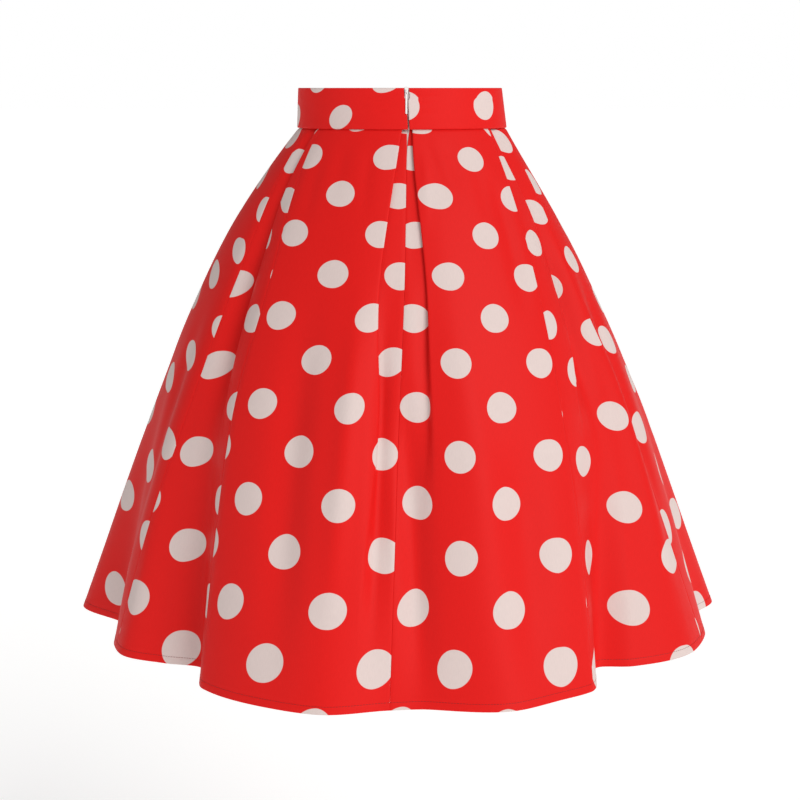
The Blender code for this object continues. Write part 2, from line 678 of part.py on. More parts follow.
def main():
    clear_scene()
    cloth = {name: material(name + " cloth", RED, 0.45) for name in CLOTH_PIECES}
    fall, levels = skirt_rows()
    make_waistband(cloth["waistband"])
    make_back_left(fall, levels, cloth["back_left"])
    make_back_right(fall, levels, cloth["back_right"])
    make_side_left(fall, levels, cloth["side_left"])
    make_side_right(fall, levels, cloth["side_right"])
    make_front_left(fall, levels, cloth["front_left"])
    make_front_right(fall, levels, cloth["front_right"])
    make_side_front_left(fall, levels, cloth["side_front_left"])
    make_side_front_right(fall, levels, cloth["side_front_right"])
    make_zip_tape(material("zip tape cloth", WHITE, 0.8))
    make_zip_slider(material("slider lacquer", WHITE, 0.35))
    make_zip_pull(material("pull lacquer", WHITE, 0.35))


main()
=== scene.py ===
"""Looks of a worn, empty midi skirt: red cloth with polka dots, a waistband and a centre back zip.

The cloth panels lie on the forms of their solids, with the same tables and formulas, as thin
shells with finer rows and columns. Metres, +Z up, -Y is the centre back, +X the wearer's right.
"""
import math

import bmesh
import bpy
import numpy as np
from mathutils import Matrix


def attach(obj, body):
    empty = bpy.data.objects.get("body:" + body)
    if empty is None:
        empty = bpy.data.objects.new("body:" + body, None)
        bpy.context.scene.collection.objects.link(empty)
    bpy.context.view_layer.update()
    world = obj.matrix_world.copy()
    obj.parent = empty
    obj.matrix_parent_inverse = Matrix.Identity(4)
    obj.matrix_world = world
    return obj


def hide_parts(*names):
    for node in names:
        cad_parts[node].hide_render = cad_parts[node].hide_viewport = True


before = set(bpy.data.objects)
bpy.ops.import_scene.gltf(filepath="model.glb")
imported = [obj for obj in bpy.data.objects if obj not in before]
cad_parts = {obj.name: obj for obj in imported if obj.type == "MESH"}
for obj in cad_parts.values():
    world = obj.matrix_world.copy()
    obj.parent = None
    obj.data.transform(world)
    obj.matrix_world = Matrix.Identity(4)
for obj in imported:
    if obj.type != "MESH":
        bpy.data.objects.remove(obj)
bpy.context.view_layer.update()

bl_info = {
    "name": "Midi skirt looks",
    "version": (1, 0, 0),
    "blender": (4, 5, 0),
    "location": "3D View > Sidebar > Skirt",
    "description": "Builds the cloth, hem stitching and zip of a polka dot midi skirt",
    "category": "Object",
}

# Heights and sizes of the garment
BAND_HEIGHT = 0.046
BAND_TOP = 0.5 * BAND_HEIGHT
SEAM_LEVEL = -0.5 * BAND_HEIGHT
SKIRT_DROP = 0.594
GAP = 0.0003
BAND_HALF_WIDTH = 0.1187
BAND_HALF_DEPTH = 0.0898
WAIST_HALF_WIDTH = 0.1228
WAIST_HALF_DEPTH = 0.0945
HEM_HALF_WIDTH = 0.3970
HEM_HALF_DEPTH = 0.3450
FLARE_SOFT = 0.18
FLARE_EARLY = 0.34
LEAN_WAIST = 0.0022
LEAN_BODY = -0.0018
LEAN_FADE = 0.05
BAND_WALL = 0.0024
LAYER_PITCH = 0.0024
SEAM_GAP = 0.00034
# Shares of the drop at which tables give values, the turn in degrees at which they start, the
# angle from which an edge between two faces is drawn sharp, and how near points are merged
STATIONS = np.linspace(0.0, 1.0, 5)
FIRST_TURN = -92.0
SHARP_ANGLE = math.radians(50.0)
MERGE_DISTANCE = 0.000002

# Seams between the panels: turn in degrees at each station
BACK_SEAM = (4.6, 2.4, 0.3, -0.8, -1.6)
LEFT_BACK_SEAM = (-57.0, -46.0, -45.2, -42.6, -39.3)
LEFT_SIDE_SEAM = (-68.0, -63.3, -62.8, -64.6, -65.2)
RIGHT_BACK_SEAM = (60.9, 50.3, 44.5, 41.4, 37.2)
RIGHT_SIDE_SEAM = (78.8, 69.9, 70.4, 69.4, 70.4)
RIGHT_FRONT_SEAM = (130.6, 136.3, 136.6, 138.5, 140.2)
FRONT_SEAM = (180.0, 180.5, 181.0, 181.5, 182.0)
LEFT_FRONT_SEAM = (229.4, 223.7, 223.4, 221.5, 218.8)
# The left side seam as reached from the front, once round
LEFT_SIDE_SEAM_ROUND = tuple(turn + 360.0 for turn in LEFT_SIDE_SEAM)

# Lines that run down the cloth. Turn is degrees round from the centre back, positive to the
# wearer's right. Push is millimetres out from the plain flared form. One value for each station.
LINES = (
    # turn, push
    ((-92.0, -91.0, -91.0, -91.0, -90.6), (0.0, 0.0, 0.0, 0.5, 1.0)),  # left side crest
    ((-84.0, -80.0, -79.5, -79.0, -78.5), (0.0, -1.0, -6.0, -24.0, -52.0)),  # left side valley
    ((-76.0, -71.0, -70.0, -69.0, -67.0), (0.0, -2.0, -5.0, -12.0, -26.0)),  # left side turn
    ((-71.0, -66.5, -65.5, -64.0, -62.0), (0.0, -3.0, -7.0, -14.0, -21.0)),  # left side roll
    ((-65.0, -61.5, -60.5, -57.5, -53.5), (0.0, -6.0, -14.0, -30.0, -44.0)),  # left valley rise
    ((-60.0, -57.0, -55.5, -51.5, -46.8), (0.0, -8.0, -20.0, -42.0, -63.0)),  # left valley
    ((-50.0, -44.5, -43.0, -40.5, -38.0), (0.0, 0.0, -3.0, -10.0, -16.0)),  # left back roll
    ((-30.0, -31.0, -30.0, -29.0, -27.0), (0.0, 0.0, 0.0, -1.0, -1.0)),  # left back flat
    ((-8.0, -14.0, -15.0, -15.0, -14.0), (0.0, 2.0, 5.0, 6.0, 7.0)),  # left pleat roll
    (BACK_SEAM, (0.0, -1.0, -4.0, -8.0, -12.0)),  # back seam
    ((6.0, 5.5, 4.0, 3.2, 3.0), (0.0, -2.0, -6.0, -11.0, -14.0)),  # back dip
    ((18.0, 18.0, 17.0, 18.0, 20.0), (0.0, 1.0, 3.0, 5.0, 6.0)),  # right pleat roll
    ((38.0, 32.0, 30.0, 30.0, 30.0), (0.0, 0.0, 0.0, -2.0, -5.0)),  # right back flat
    ((58.0, 47.0, 41.5, 39.0, 36.5), (0.0, 0.0, -2.0, -6.0, -10.0)),  # right back roll
    ((66.0, 62.0, 59.5, 53.0, 46.8), (0.0, -8.0, -17.0, -42.0, -62.0)),  # right valley
    ((71.0, 66.5, 64.5, 58.5, 52.0), (0.0, -5.0, -12.0, -24.0, -38.0)),  # right valley rise
    ((77.0, 72.0, 70.0, 68.0, 65.0), (0.0, -2.0, -4.0, -6.0, -8.0)),  # right side roll
    ((82.0, 77.0, 76.0, 75.0, 73.5), (0.0, -1.0, -3.0, -6.0, -11.0)),  # right side turn
    ((87.0, 84.0, 84.5, 84.5, 84.6), (0.0, -1.0, -4.0, -12.0, -27.0)),  # right side valley
    ((95.0, 94.0, 93.0, 93.0, 93.0), (0.0, 0.0, 0.5, 1.0, 2.5)),  # right side crest
    ((106.0, 106.0, 106.0, 105.0, 105.0), (0.0, -2.0, -9.0, -22.0, -38.0)),  # front right dip
    ((115.0, 115.0, 115.5, 116.0, 116.0), (0.0, 0.0, 0.0, -2.0, -3.0)),  # front right bulge
    ((123.0, 125.0, 126.0, 127.0, 128.0), (0.0, -8.0, -18.0, -36.0, -54.0)),  # front right valley
    ((132.0, 136.0, 137.5, 139.0, 140.0), (0.0, 0.0, -2.0, -6.0, -9.0)),  # front right roll
    ((156.0, 157.0, 158.0, 158.0, 157.0), (0.0, 1.0, 3.0, 5.0, 6.0)),  # front right flat
    (FRONT_SEAM, (0.0, -3.0, -7.0, -12.0, -17.0)),  # front dip
    ((204.0, 203.0, 203.0, 202.0, 203.0), (0.0, 1.0, 3.0, 6.0, 7.0)),  # front left flat
    ((228.0, 224.0, 222.0, 220.5, 219.0), (0.0, 0.0, -2.0, -7.0, -12.0)),  # front left roll
    ((237.0, 235.0, 234.0, 233.0, 231.0), (0.0, -8.0, -18.0, -38.0, -58.0)),  # front left valley
    ((245.0, 245.0, 244.0, 244.0, 243.0), (0.0, 0.0, 0.0, -2.0, -4.0)),  # front left bulge
    ((256.0, 256.0, 256.0, 255.0, 256.0), (0.0, -2.0, -8.0, -20.0, -34.0)),  # front left dip
)

# Folds. Turn is where the folded edge lies, shuts is the share of the drop at which nothing is
# folded under any more, and faces is +1 where the cloth that comes out from under the edge lies at
# the larger turn.
FOLDS = {
    # name: (turn, shuts, faces)
    "back left": ((0.0, -6.2, -5.2, -6.3, -7.0), 0.42, 1),
    "back right": ((7.4, 9.6, 8.4, 6.2, 5.0), 0.32, -1),
    "left": ((-59.6, -56.0, -51.5, -48.6, -46.0), 0.27, -1),
    "right": ((62.9, 63.4, 53.7, 48.0, 44.0), 0.27, 1),
    "front right": ((128.0, 130.0, 131.0, 132.5, 133.5), 0.28, -1),
    "front centre right": ((174.5, 173.0, 174.5, 175.5, 176.0), 0.34, 1),
    "front centre left": ((185.5, 188.0, 187.5, 188.0, 188.5), 0.38, -1),
    "front left": ((232.0, 230.0, 229.0, 227.5, 225.5), 0.28, 1),
}
# Seams that lie in a box pleat, with the folds on either side
BOX_PLEATS = {
    BACK_SEAM: ("back left", "back right"),
    FRONT_SEAM: ("front centre right", "front centre left"),
}
# Cloth folded under at the waist. A fold turns from folded under to a step, and from that to an
# open wave, between these shares of the fall at which it shuts.
FOLD_UNDER = 0.026
STEPPING = (0.85, 1.60)
OPENING = (1.40, 2.30)
SHUT_ANGLE = 180.0
STEP_ANGLE = 75.0
OPEN_ANGLE = 10.0
SHUT_RADIUS = 0.5 * LAYER_PITCH
STEP_RADIUS = 0.0024
OPEN_RADIUS = 0.0100
OPEN_RUN = 0.0100
FOLD_SPREAD_WAIST = 0.006
FOLD_SPREAD_HEM = 0.014
ARC_STEPS = 7
RUN_STEPS = 5
SPREAD_STEPS = 4

PANELS = {
    # name: (seam, folds and counts of plain columns in the order of turn, seam)
    "back_left": (LEFT_BACK_SEAM, 62, "back left", 3, BACK_SEAM),
    "back_right": (BACK_SEAM, 3, "back right", 62, RIGHT_BACK_SEAM),
    "side_left": (LEFT_SIDE_SEAM, 36, "left", 6, LEFT_BACK_SEAM),
    "side_right": (RIGHT_BACK_SEAM, 6, "right", 38, RIGHT_SIDE_SEAM),
    "side_front_right": (RIGHT_SIDE_SEAM, 90, "front right", 5, RIGHT_FRONT_SEAM),
    "side_front_left": (LEFT_FRONT_SEAM, 5, "front left", 90, LEFT_SIDE_SEAM_ROUND),
    "front_right": (RIGHT_FRONT_SEAM, 56, "front centre right", 4, FRONT_SEAM),
    "front_left": (FRONT_SEAM, 4, "front centre left", 56, LEFT_FRONT_SEAM),
}

# Soft creases. Each runs straight from one place to another, both given as turn in degrees and
# fall in share of the drop. Half width and depth are millimetres, and depth is negative for a
# trough. Each fades out at both ends.
CREASES = (
    # turn, fall, turn at end, fall at end, half width, depth
    (-18.0, 0.01, -14.0, 0.18, 6.0, -1.2),
    (-34.0, 0.01, -29.0, 0.14, 7.0, -1.1),
    (-46.0, 0.02, -38.0, 0.20, 6.0, -1.0),
    (14.0, 0.00, 25.0, 0.15, 6.0, -1.5),
    (27.0, 0.01, 31.0, 0.12, 6.0, -1.0),
    (43.0, 0.01, 37.0, 0.22, 7.0, -1.4),
    (15.0, 0.02, 10.5, 0.20, 5.0, 1.1),
    (-29.0, 0.26, -21.0, 1.05, 17.0, -7.4),
    (-12.0, 0.24, -13.0, 0.90, 10.0, 4.6),
    (-4.0, 0.22, -5.0, 0.98, 7.0, -6.5),
    (5.0, 0.20, 3.6, 0.66, 8.0, 3.6),
    (2.0, 0.42, 5.0, 1.05, 13.0, -9.6),
    (18.0, 0.30, 20.0, 0.84, 13.0, 2.6),
    (30.0, 0.50, 24.0, 1.05, 19.0, -7.0),
    (49.0, 0.06, 40.0, 0.36, 8.0, -4.2),
    (67.5, 0.11, 57.0, 0.62, 9.0, -8.0),
    (77.0, 0.20, 68.0, 0.80, 10.0, -7.4),
    (72.0, 0.34, 62.0, 0.95, 10.0, 6.0),
    (-61.0, 0.10, -53.5, 0.56, 9.0, -8.0),
    (-73.0, 0.30, -71.0, 0.95, 12.0, -6.3),
    (-88.0, 0.00, -90.0, 0.62, 34.0, 6.0),
    (92.0, 0.05, 95.0, 0.70, 26.0, 1.5),
    (103.0, 0.06, 108.0, 0.55, 9.0, -5.2),
    (128.0, 0.12, 127.0, 0.60, 9.0, -7.7),
    (142.0, 0.02, 148.0, 0.22, 7.0, -1.3),
    (153.0, 0.28, 150.0, 1.05, 18.0, -7.0),
    (168.0, 0.02, 166.0, 0.17, 6.0, -1.3),
    (167.0, 0.34, 168.0, 0.92, 12.0, 5.2),
    (181.5, 0.38, 180.0, 1.05, 14.0, -9.1),
    (192.0, 0.01, 196.0, 0.15, 6.0, -1.2),
    (195.0, 0.30, 193.0, 0.86, 12.0, 5.6),
    (209.0, 0.30, 212.0, 1.05, 19.0, -7.5),
    (216.0, 0.02, 211.0, 0.18, 7.0, -1.3),
    (235.0, 0.12, 234.0, 0.58, 9.0, -7.7),
    (258.0, 0.08, 251.0, 0.60, 10.0, -5.6),
)

# Pull creases of the band, as above, but placed by their height in millimetres
BAND_CREASES = (
    # turn, millimetres of height, turn at end, millimetres of height at end, half width, depth
    (-26.0, 14.5, 3.0, 9.5, 1.5, -0.42),
    (-22.0, 7.0, 3.0, 5.0, 1.4, -0.34),
    (-18.0, -2.0, 3.0, 0.5, 1.8, -0.30),
    (6.0, 11.0, 32.0, 15.0, 1.6, -0.36),
    (6.0, 3.0, 27.0, 7.0, 1.7, -0.30),
    (7.0, -8.0, 30.0, -3.0, 2.0, -0.26),
    (118.0, 5.0, 143.0, 9.0, 2.0, -0.26),
    (196.0, 10.0, 224.0, 5.0, 1.9, -0.28),
)

# Print of the band: columns as their number, their distance in metres beyond the slit's right edge
# or left edge, and how far they lean for each metre down. The height and spacing of the rows
# change from the right side's to the left side's.
BAND_COLUMNS_RIGHT = ((0, -0.0045, 0.0), (2, 0.096, 0.0))
BAND_COLUMNS_LEFT = ((12, -0.107, 0.38), (14, -0.024, 0.38), (15, 0.032, 0.0))
BAND_COLUMN_STEP = 0.046
BAND_ROW_RIGHT = 0.003
BAND_STEP_RIGHT = 0.0479
BAND_ROW_LEFT = 0.031
BAND_STEP_LEFT = 0.0406

# Band: distances of the rows and columns near its edges, number and reach of those between, the
# length round, and how far and how much its wall thins at the edges
BAND_EDGE_ROWS = np.array([0.0, 0.0002, 0.0005, 0.0010, 0.0018])
BAND_PLAIN_ROWS = 22
BAND_PLAIN_START = 0.0034
BAND_PLAIN_COLUMNS = 320
BAND_PLAIN_SHARE = 0.0050
BAND_ROUND = 0.66
BAND_CORNER = 0.0011
BAND_CORNER_SHARE = 0.96

# Slit for the zip: its width in the band and round the slider, the distances below the band's top
# edge between which it changes, its width at the waist seam and the fall at which it closes
SLIT_BAND = 0.0016
SLIT_SLIDER = 0.0056
SLIT_NARROW = 0.0140
SLIT_WIDE = 0.0108
SLIT_WAIST = 0.0030
SLIT_CLOSED = 0.035

# Slider: its size, how far its faces stay inside that, its width at the middle and what it gains
# above and below, the share that is rounded at each end, how square its rings are, the groove in
# its sides, and the dent that stands for the dark hole low on its front
SLIDER_WIDTH = 0.0046
SLIDER_HEIGHT = 0.0088
SLIDER_DEPTH = 0.0030
SLIDER_TOP = BAND_TOP + 0.0012
SLIDER_INSET = 0.00006
SLIDER_WAIST = 0.76
SLIDER_SHOULDERS = 0.24
SLIDER_FOOT = 0.12
SLIDER_END = 0.20
SLIDER_SQUARE = 0.45
SLIDER_GROOVE = 0.25
SLIDER_GROOVE_WIDTH = 0.28
SLIDER_DENT_LEVEL = -0.0027
SLIDER_DENT_RADIUS = 0.0007
SLIDER_DENT_DEPTH = 0.0019

# Bridge: the hole under it, its half width and half thickness, and its arch
BRIDGE_HOLE = 0.0016
BRIDGE_HALF = 0.00036
BRIDGE_THICK = 0.00028
BRIDGE_ROOT = 0.0012
BRIDGE_REACH = 0.0022
BRIDGE_RISE = 0.0018

# Pull tab: its size, the foot of its eye, its rim and corners, and the plate with its soft ridge
PULL_WIDTH = 0.0021
PULL_LENGTH = 0.0262
PULL_WALL = 0.0008
PULL_EYE_FOOT = -0.0038
PULL_RIM = 0.00026
PULL_CORNER = 0.0004
PULL_PLATE = 0.00012
PULL_RIDGE = 0.00010
PULL_RIDGE_WIDTH = 0.30

# Coil: how deep the tape lies behind the band and behind the skirt, the height at which it starts
# to sink, the size and slant of a tooth, and the share of the drop at which the coil ends
TAPE_BAND_DEPTH = 0.0017
TAPE_SKIRT_DEPTH = 0.0062
TAPE_SINKS = 0.010
COIL_RADIUS = 0.00018
COIL_WIDTH = 0.0024
COIL_SLANT = 0.12
COIL_END = 0.030

# Cloth: half its thickness, the rows tucked behind the band and how far they move in, the dip
# below the waist seam, rows in millimetres below the seam and above the hem's foot, the step
# between plain rows, and the seam allowances turned in at each side
CLOTH_HALF = 0.00025
TUCK_ROWS = (
    # millimetres above the waist seam, share tucked in
    (5.0, 1.0),
    (3.4, 0.85),
    (2.0, 0.55),
    (0.9, 0.2),
)
TUCK_DEPTH = 0.0006
TUCK_FLATTENS = 0.62
SEAM_ROWS = (0.0, 0.4, 0.9, 1.6, 2.6)
SEAM_DIP = 0.0011
SEAM_DIP_HEIGHT = 0.0013
HEM_ROWS = (0.0, 0.3, 0.9, 2.0, 4.0, 6.0, 7.2, 7.8, 8.4, 9.2, 10.4, 12.0, 14.5)
ROW_STEP = 0.0040
TURN_IN_RADIUS = 0.00035
TURN_IN_STEPS = 5

# Hem: it ends between two heights and thickens the cloth outwards and inwards. Its foot is
# rounded down to a least share of the wall, and the stitches lie in a groove and fill a share of
# their spacing.
HEM_TOP = (0.0076, 0.0090)
HEM_OUT = 0.00018
HEM_IN = 0.00045
HEM_FOOT = 0.0005
HEM_FOOT_LEAST = 0.04
STITCH_ABOVE_HEM = 7.8
STITCH_SHARE = 0.82
GROOVE_DEPTH = 0.00022
GROOVE_HALF_WIDTH = 0.0006

# Colours, and the stage's half floor and lamps
WHITE = (1.0, 1.0, 1.0, 1.0)
PALE_RED = (0.80, 0.22, 0.20, 1.0)
FLOOR_HALF = 150.0
KEY_PLACE = (2.2, -2.3, 2.1)
FILL_PLACE = (-2.2, -1.8, 0.1)
FILL_SIZE = 1.6

# Print: number of rows of dots down the cloth as a quadratic of the fall, and the distance
# between neighbouring columns at each station in millimetres
ROWS_START = 0.23
ROWS_FIRST = 15.1
ROWS_SECOND = -2.64
COLUMN_STEP = (47.5, 50.5, 54.0, 57.5, 61.0)

# How the print lies on each panel. Each column line is where the column of dots with that number
# runs, in millimetres of cloth from the panel's near edge at each station, and how far its rows
# of dots are lowered at the waist and at the hem, in rows. Near is the panel's first edge in the
# order of turn, or its last.
PRINTS = {
    # name: (near edge, column lines as number, lowering, places)
    "back_left": ("first", (
        (-2, (0.03, 0.08), (-48.0, -30.0, -14.0, -8.0, -26.0)),
        (-1, (-0.01, 0.04), (1.5, 20.5, 38.0, 42.0, 22.0)),
        (0, (-0.05, -0.03), (48.5, 77.0, 93.5, 97.0, 88.0)),
        (1, (-0.02, -0.08), (94.0, 126.0, 146.0, 156.5, 156.0)),
        (2, (0.01, -0.02), (167.5, 178.0, 192.5, 215.0, 212.0)))),
    "back_right": ("last", (
        (2, (0.15, 0.145), (-7.0, 10.5, 23.5, 36.5, 43.5)),
        (1, (0.06, -0.02), (35.5, 59.0, 80.0, 98.0, 112.5)),
        (0, (0.01, -0.01), (88.0, 107.0, 129.0, 153.5, 173.5)),
        (-1, (0.01, -0.03), (160.0, 165.5, 177.0, 200.5, 224.0)))),
    "side_left": ("last", (
        (2, (0.19, 0.10), (19.0, -7.0, -47.0, -52.0, -50.0)),
        (1, (0.13, 0.16), (80.0, 23.0, -8.5, -10.0, 4.0)),
        (0, (0.43, 0.40), (112.0, 87.0, 69.5, 74.0, 82.0)),
        (-1, (0.68, 0.57), (164.0, 141.0, 126.0, 135.0, 146.0)))),
    "side_right": ("first", (
        (-1, (0.33, 0.27), (0.0, 15.0, -16.0, -28.0, -44.0)),
        (0, (0.60, 0.40), (74.5, 67.0, 35.0, 29.0, 18.0)),
        (1, (0.76, 0.62), (122.0, 112.0, 101.0, 103.0, 110.0)),
        (2, (0.90, 0.84), (170.0, 164.0, 158.0, 168.0, 184.0)))),
    "side_front_right": ("first", (
        (0, (-0.32, 0.47), (-4.0, 20.0, 34.0, 4.0, -20.0)),
        (1, (-0.07, 0.42), (50.0, 64.0, 84.0, 52.0, 40.0)),
        (2, (0.20, 0.62), (104.0, 118.0, 138.0, 112.0, 108.0)))),
    "side_front_left": ("last", (
        (2, (0.47, 0.50), (28.0, -17.0, -66.0, -99.0, -120.0)),
        (1, (0.70, 0.30), (76.0, 8.0, -22.0, -54.0, -75.0)),
        (0, (0.24, 0.45), (124.0, 60.0, 32.0, -5.0, -25.0)),
        (-1, (-0.22, 0.25), (170.0, 108.0, 88.0, 61.0, 41.0)),
        (-2, (0.06, 0.05), (218.0, 163.0, 144.0, 128.0, 108.0)))),
    "front_right": ("first", (
        (0, (-0.2, -0.2), (44.0, 70.0, 88.0, 92.0, 86.0)),
        (1, (-0.2, -0.2), (92.0, 121.0, 142.0, 150.0, 147.0)))),
    "front_left": ("last", (
        (0, (-0.2, -0.2), (44.0, 70.0, 88.0, 92.0, 86.0)),
        (-1, (-0.2, -0.2), (92.0, 121.0, 142.0, 150.0, 147.0)))),
}


class SkirtCloth(bpy.types.PropertyGroup):
    """Colours and grain of the cloth."""
    red: bpy.props.FloatVectorProperty(
        name="Ground", description="Colour of the cloth between the dots",
        subtype="COLOR", size=4, min=0.0, max=1.0, default=(0.738, 0.0118, 0.0102, 1.0))
    dot: bpy.props.FloatVectorProperty(
        name="Dots", description="Colour of the printed dots",
        subtype="COLOR", size=4, min=0.0, max=1.0, default=(0.715, 0.590, 0.562, 1.0))
    wrong_side: bpy.props.FloatProperty(
        name="Wrong side", description="How far the inner side fades towards a pale pink red",
        subtype="FACTOR", min=0.0, max=1.0, default=0.35)
    thread: bpy.props.FloatProperty(
        name="Thread spacing", description="Distance from one thread of the weave to the next",
        unit="LENGTH", default=0.00042, min=0.0001, max=0.005, precision=5)
    grain: bpy.props.FloatProperty(
        name="Grain depth", description="Height of the threads over the hollows between them",
        unit="LENGTH", default=0.00002, min=0.0, max=0.001, precision=6)
    roughness: bpy.props.FloatProperty(
        name="Roughness", description="Roughness of the cloth's faint shine",
        subtype="FACTOR", min=0.0, max=1.0, default=0.52)


class SkirtPrint(bpy.types.PropertyGroup):
    """Size of the dots against their spacing."""
    dot_radius: bpy.props.FloatProperty(
        name="Dot radius", description="Radius of a dot in steps from one row to the next",
        default=0.335, min=0.05, max=0.48)
    column_ratio: bpy.props.FloatProperty(
        name="Column ratio", description="Width of a step across against one down",
        default=0.985, min=0.5, max=2.0)


class SkirtHem(bpy.types.PropertyGroup):
    """The narrow stitched hem."""
    stitch: bpy.props.FloatProperty(
        name="Stitch spacing", description="Distance from one stitch to the next",
        unit="LENGTH", default=0.0032, min=0.001, max=0.02, precision=4)
    thread: bpy.props.FloatProperty(
        name="Thread", description="Diameter of the sewing thread",
        unit="LENGTH", default=0.00042, min=0.0001, max=0.002, precision=5)
    colour: bpy.props.FloatVectorProperty(
        name="Thread colour", description="Colour of the sewing thread",
        subtype="COLOR", size=4, min=0.0, max=1.0, default=(0.26, 0.005, 0.005, 1.0))


class SkirtZip(bpy.types.PropertyGroup):
    """The zip at the centre back."""
    tape: bpy.props.FloatVectorProperty(
        name="Tape", description="Colour of the zip's woven tape and teeth",
        subtype="COLOR", size=4, min=0.0, max=1.0, default=(0.90, 0.84, 0.82, 1.0))
    lacquer: bpy.props.FloatVectorProperty(
        name="Lacquer", description="Colour of the slider and its pull tab",
        subtype="COLOR", size=4, min=0.0, max=1.0, default=(0.93, 0.92, 0.90, 1.0))
    tooth: bpy.props.FloatProperty(
        name="Tooth spacing", description="Distance from one tooth of the coil to the next",
        unit="LENGTH", default=0.0011, min=0.0005, max=0.005, precision=5)


class SkirtStage(bpy.types.PropertyGroup):
    """Floor, light and camera."""
    floor: bpy.props.FloatVectorProperty(
        name="Floor", description="Colour of the plain floor",
        subtype="COLOR", size=4, min=0.0, max=1.0, default=(0.92, 0.92, 0.92, 1.0))
    floor_level: bpy.props.FloatProperty(
        name="Floor level", description="Height of the floor below the waist",
        unit="LENGTH", default=-1.35)
    glow: bpy.props.FloatProperty(
        name="Floor glow", description="Light that the floor gives off, as a lit table does",
        default=0.43, min=0.0, max=10.0)
    backdrop: bpy.props.FloatProperty(
        name="Backdrop", description="Brightness of the white seen beyond the floor",
        default=1.0, min=0.0, max=10.0)
    around: bpy.props.FloatProperty(
        name="Soft light", description="Strength of the light from all round",
        default=0.30, min=0.0, max=10.0)
    key: bpy.props.FloatProperty(
        name="Key light", description="Strength of the wide soft light at the upper right",
        default=2.0, min=0.0, max=20.0)
    key_spread: bpy.props.FloatProperty(
        name="Key spread", description="Angle across the key light, which softens its shadows",
        subtype="ANGLE", unit="ROTATION", default=math.radians(38.0))
    fill: bpy.props.FloatProperty(
        name="Fill light", description="Power of the low light at the left",
        unit="POWER", default=6.0, min=0.0, max=2000.0)
    lens: bpy.props.FloatProperty(
        name="Lens", description="Focal length of the camera on a 36 mm sensor",
        unit="CAMERA", default=68.85, min=10.0, max=300.0)
    distance: bpy.props.FloatProperty(
        name="Distance", description="Camera's distance behind the waist",
        unit="LENGTH", default=1.84, min=0.2, max=20.0)
    tilt: bpy.props.FloatProperty(
        name="Tilt", description="Angle by which the camera looks down",
        subtype="ANGLE", unit="ROTATION", default=math.radians(11.53))


def mix(low, high, share):
    """Straight line from low, at share 0, to high, at share 1."""
    return low + (high - low) * share


def bell(distance, half_width):
    """Bell curve: e to the power of minus half the square of distance by half width."""
    return np.exp(-0.5 * (distance / half_width) ** 2)


def cubic(part, low, rise, start, end):
    """Cubic over a span: from low up by rise, with the slopes start and end at its ends."""
    return (low + start * part + (3.0 * rise - 2.0 * start - end) * part ** 2
            + (start + end - 2.0 * rise) * part ** 3)


def at_height(values, fall):
    """A value given at the stations, as a piecewise cubic of the fall with central slopes."""
    values = np.asarray(values, dtype=float)
    step = STATIONS[1]
    slopes = np.gradient(values, STATIONS) * step
    first = np.clip((fall / step).astype(int), 0, len(values) - 2)
    part = fall / step - first
    rise = values[first + 1] - values[first]
    return cubic(part, values[first], rise, slopes[first], slopes[first + 1])


def round_degrees(turn):
    """Turn in degrees, once round from the first line."""
    return (np.degrees(turn) - FIRST_TURN) % 360.0 + FIRST_TURN


def ease(low, high, value):
    """Cubic step: 3p^2 - 2p^3, with p from 0 at low to 1 at high."""
    part = np.clip((value - low) / (high - low), 0.0, 1.0)
    return part * part * (3.0 - 2.0 * part)


def lean(fall):
    """Shift to the side: fades from the waist's to the body's by an exponential of the fall."""
    return mix(LEAN_BODY, LEAN_WAIST, np.exp(-fall / LEAN_FADE))


def half_sizes(fall):
    """Half axes of the oval: from the waist's to the hem's by a cubic share of the fall."""
    left = 1.0 - fall
    share = fall * (1.0 + left * (FLARE_SOFT + FLARE_EARLY * left))
    width = mix(WAIST_HALF_WIDTH, HEM_HALF_WIDTH, share)
    depth = mix(WAIST_HALF_DEPTH, HEM_HALF_DEPTH, share)
    return width, depth


def oval_radius(turn, width, depth):
    """Polar radius of an ellipse: 1 over the root of (sin/width)^2 + (cos/depth)^2."""
    return 1.0 / np.sqrt((np.sin(turn) / width) ** 2 + (np.cos(turn) / depth) ** 2)


def oval_speed(turn, width, depth):
    """Metres along the oval for each radian of turn: root of radius^2 + slope^2."""
    small = 1e-4
    radius = oval_radius(turn, width, depth)
    change = (oval_radius(turn + small, width, depth) - radius) / small
    return np.hypot(radius, change)


def push_out(turn, fall):
    """Push of the lines at each turn: a periodic cubic whose slope at a line is the harmonic
    mean of the grades beside it, or none at a crest or valley."""
    knots = np.stack([at_height(turns, fall) for turns, _ in LINES], axis=1)
    pushes = np.stack([at_height(out, fall) for _, out in LINES], axis=1) / 1000.0
    knots = np.concatenate([knots[:, -2:] - 360.0, knots, knots[:, :2] + 360.0], axis=1)
    pushes = np.concatenate([pushes[:, -2:], pushes, pushes[:, :2]], axis=1)
    spans = np.diff(knots, axis=1)
    grades = np.diff(pushes, axis=1) / spans
    before, after = grades[:, :-1], grades[:, 1:]
    agree = before * after > 0.0
    mean = 2.0 * before * after / np.where(agree, before + after, 1.0)
    slopes = np.zeros_like(knots)
    slopes[:, 1:-1] = np.where(agree, mean, 0.0)
    degrees = round_degrees(turn)
    first = np.sum(degrees[:, :, None] >= knots[:, None, :], axis=2) - 1
    first = np.clip(first, 0, spans.shape[1] - 1)

    def pick(table, index):
        return np.take_along_axis(table, index, axis=1)

    span = pick(spans, first)
    part = (degrees - pick(knots, first)) / span
    start = pick(slopes, first) * span
    end = pick(slopes, first + 1) * span
    low = pick(pushes, first)
    return cubic(part, low, pick(pushes, first + 1) - low, start, end)


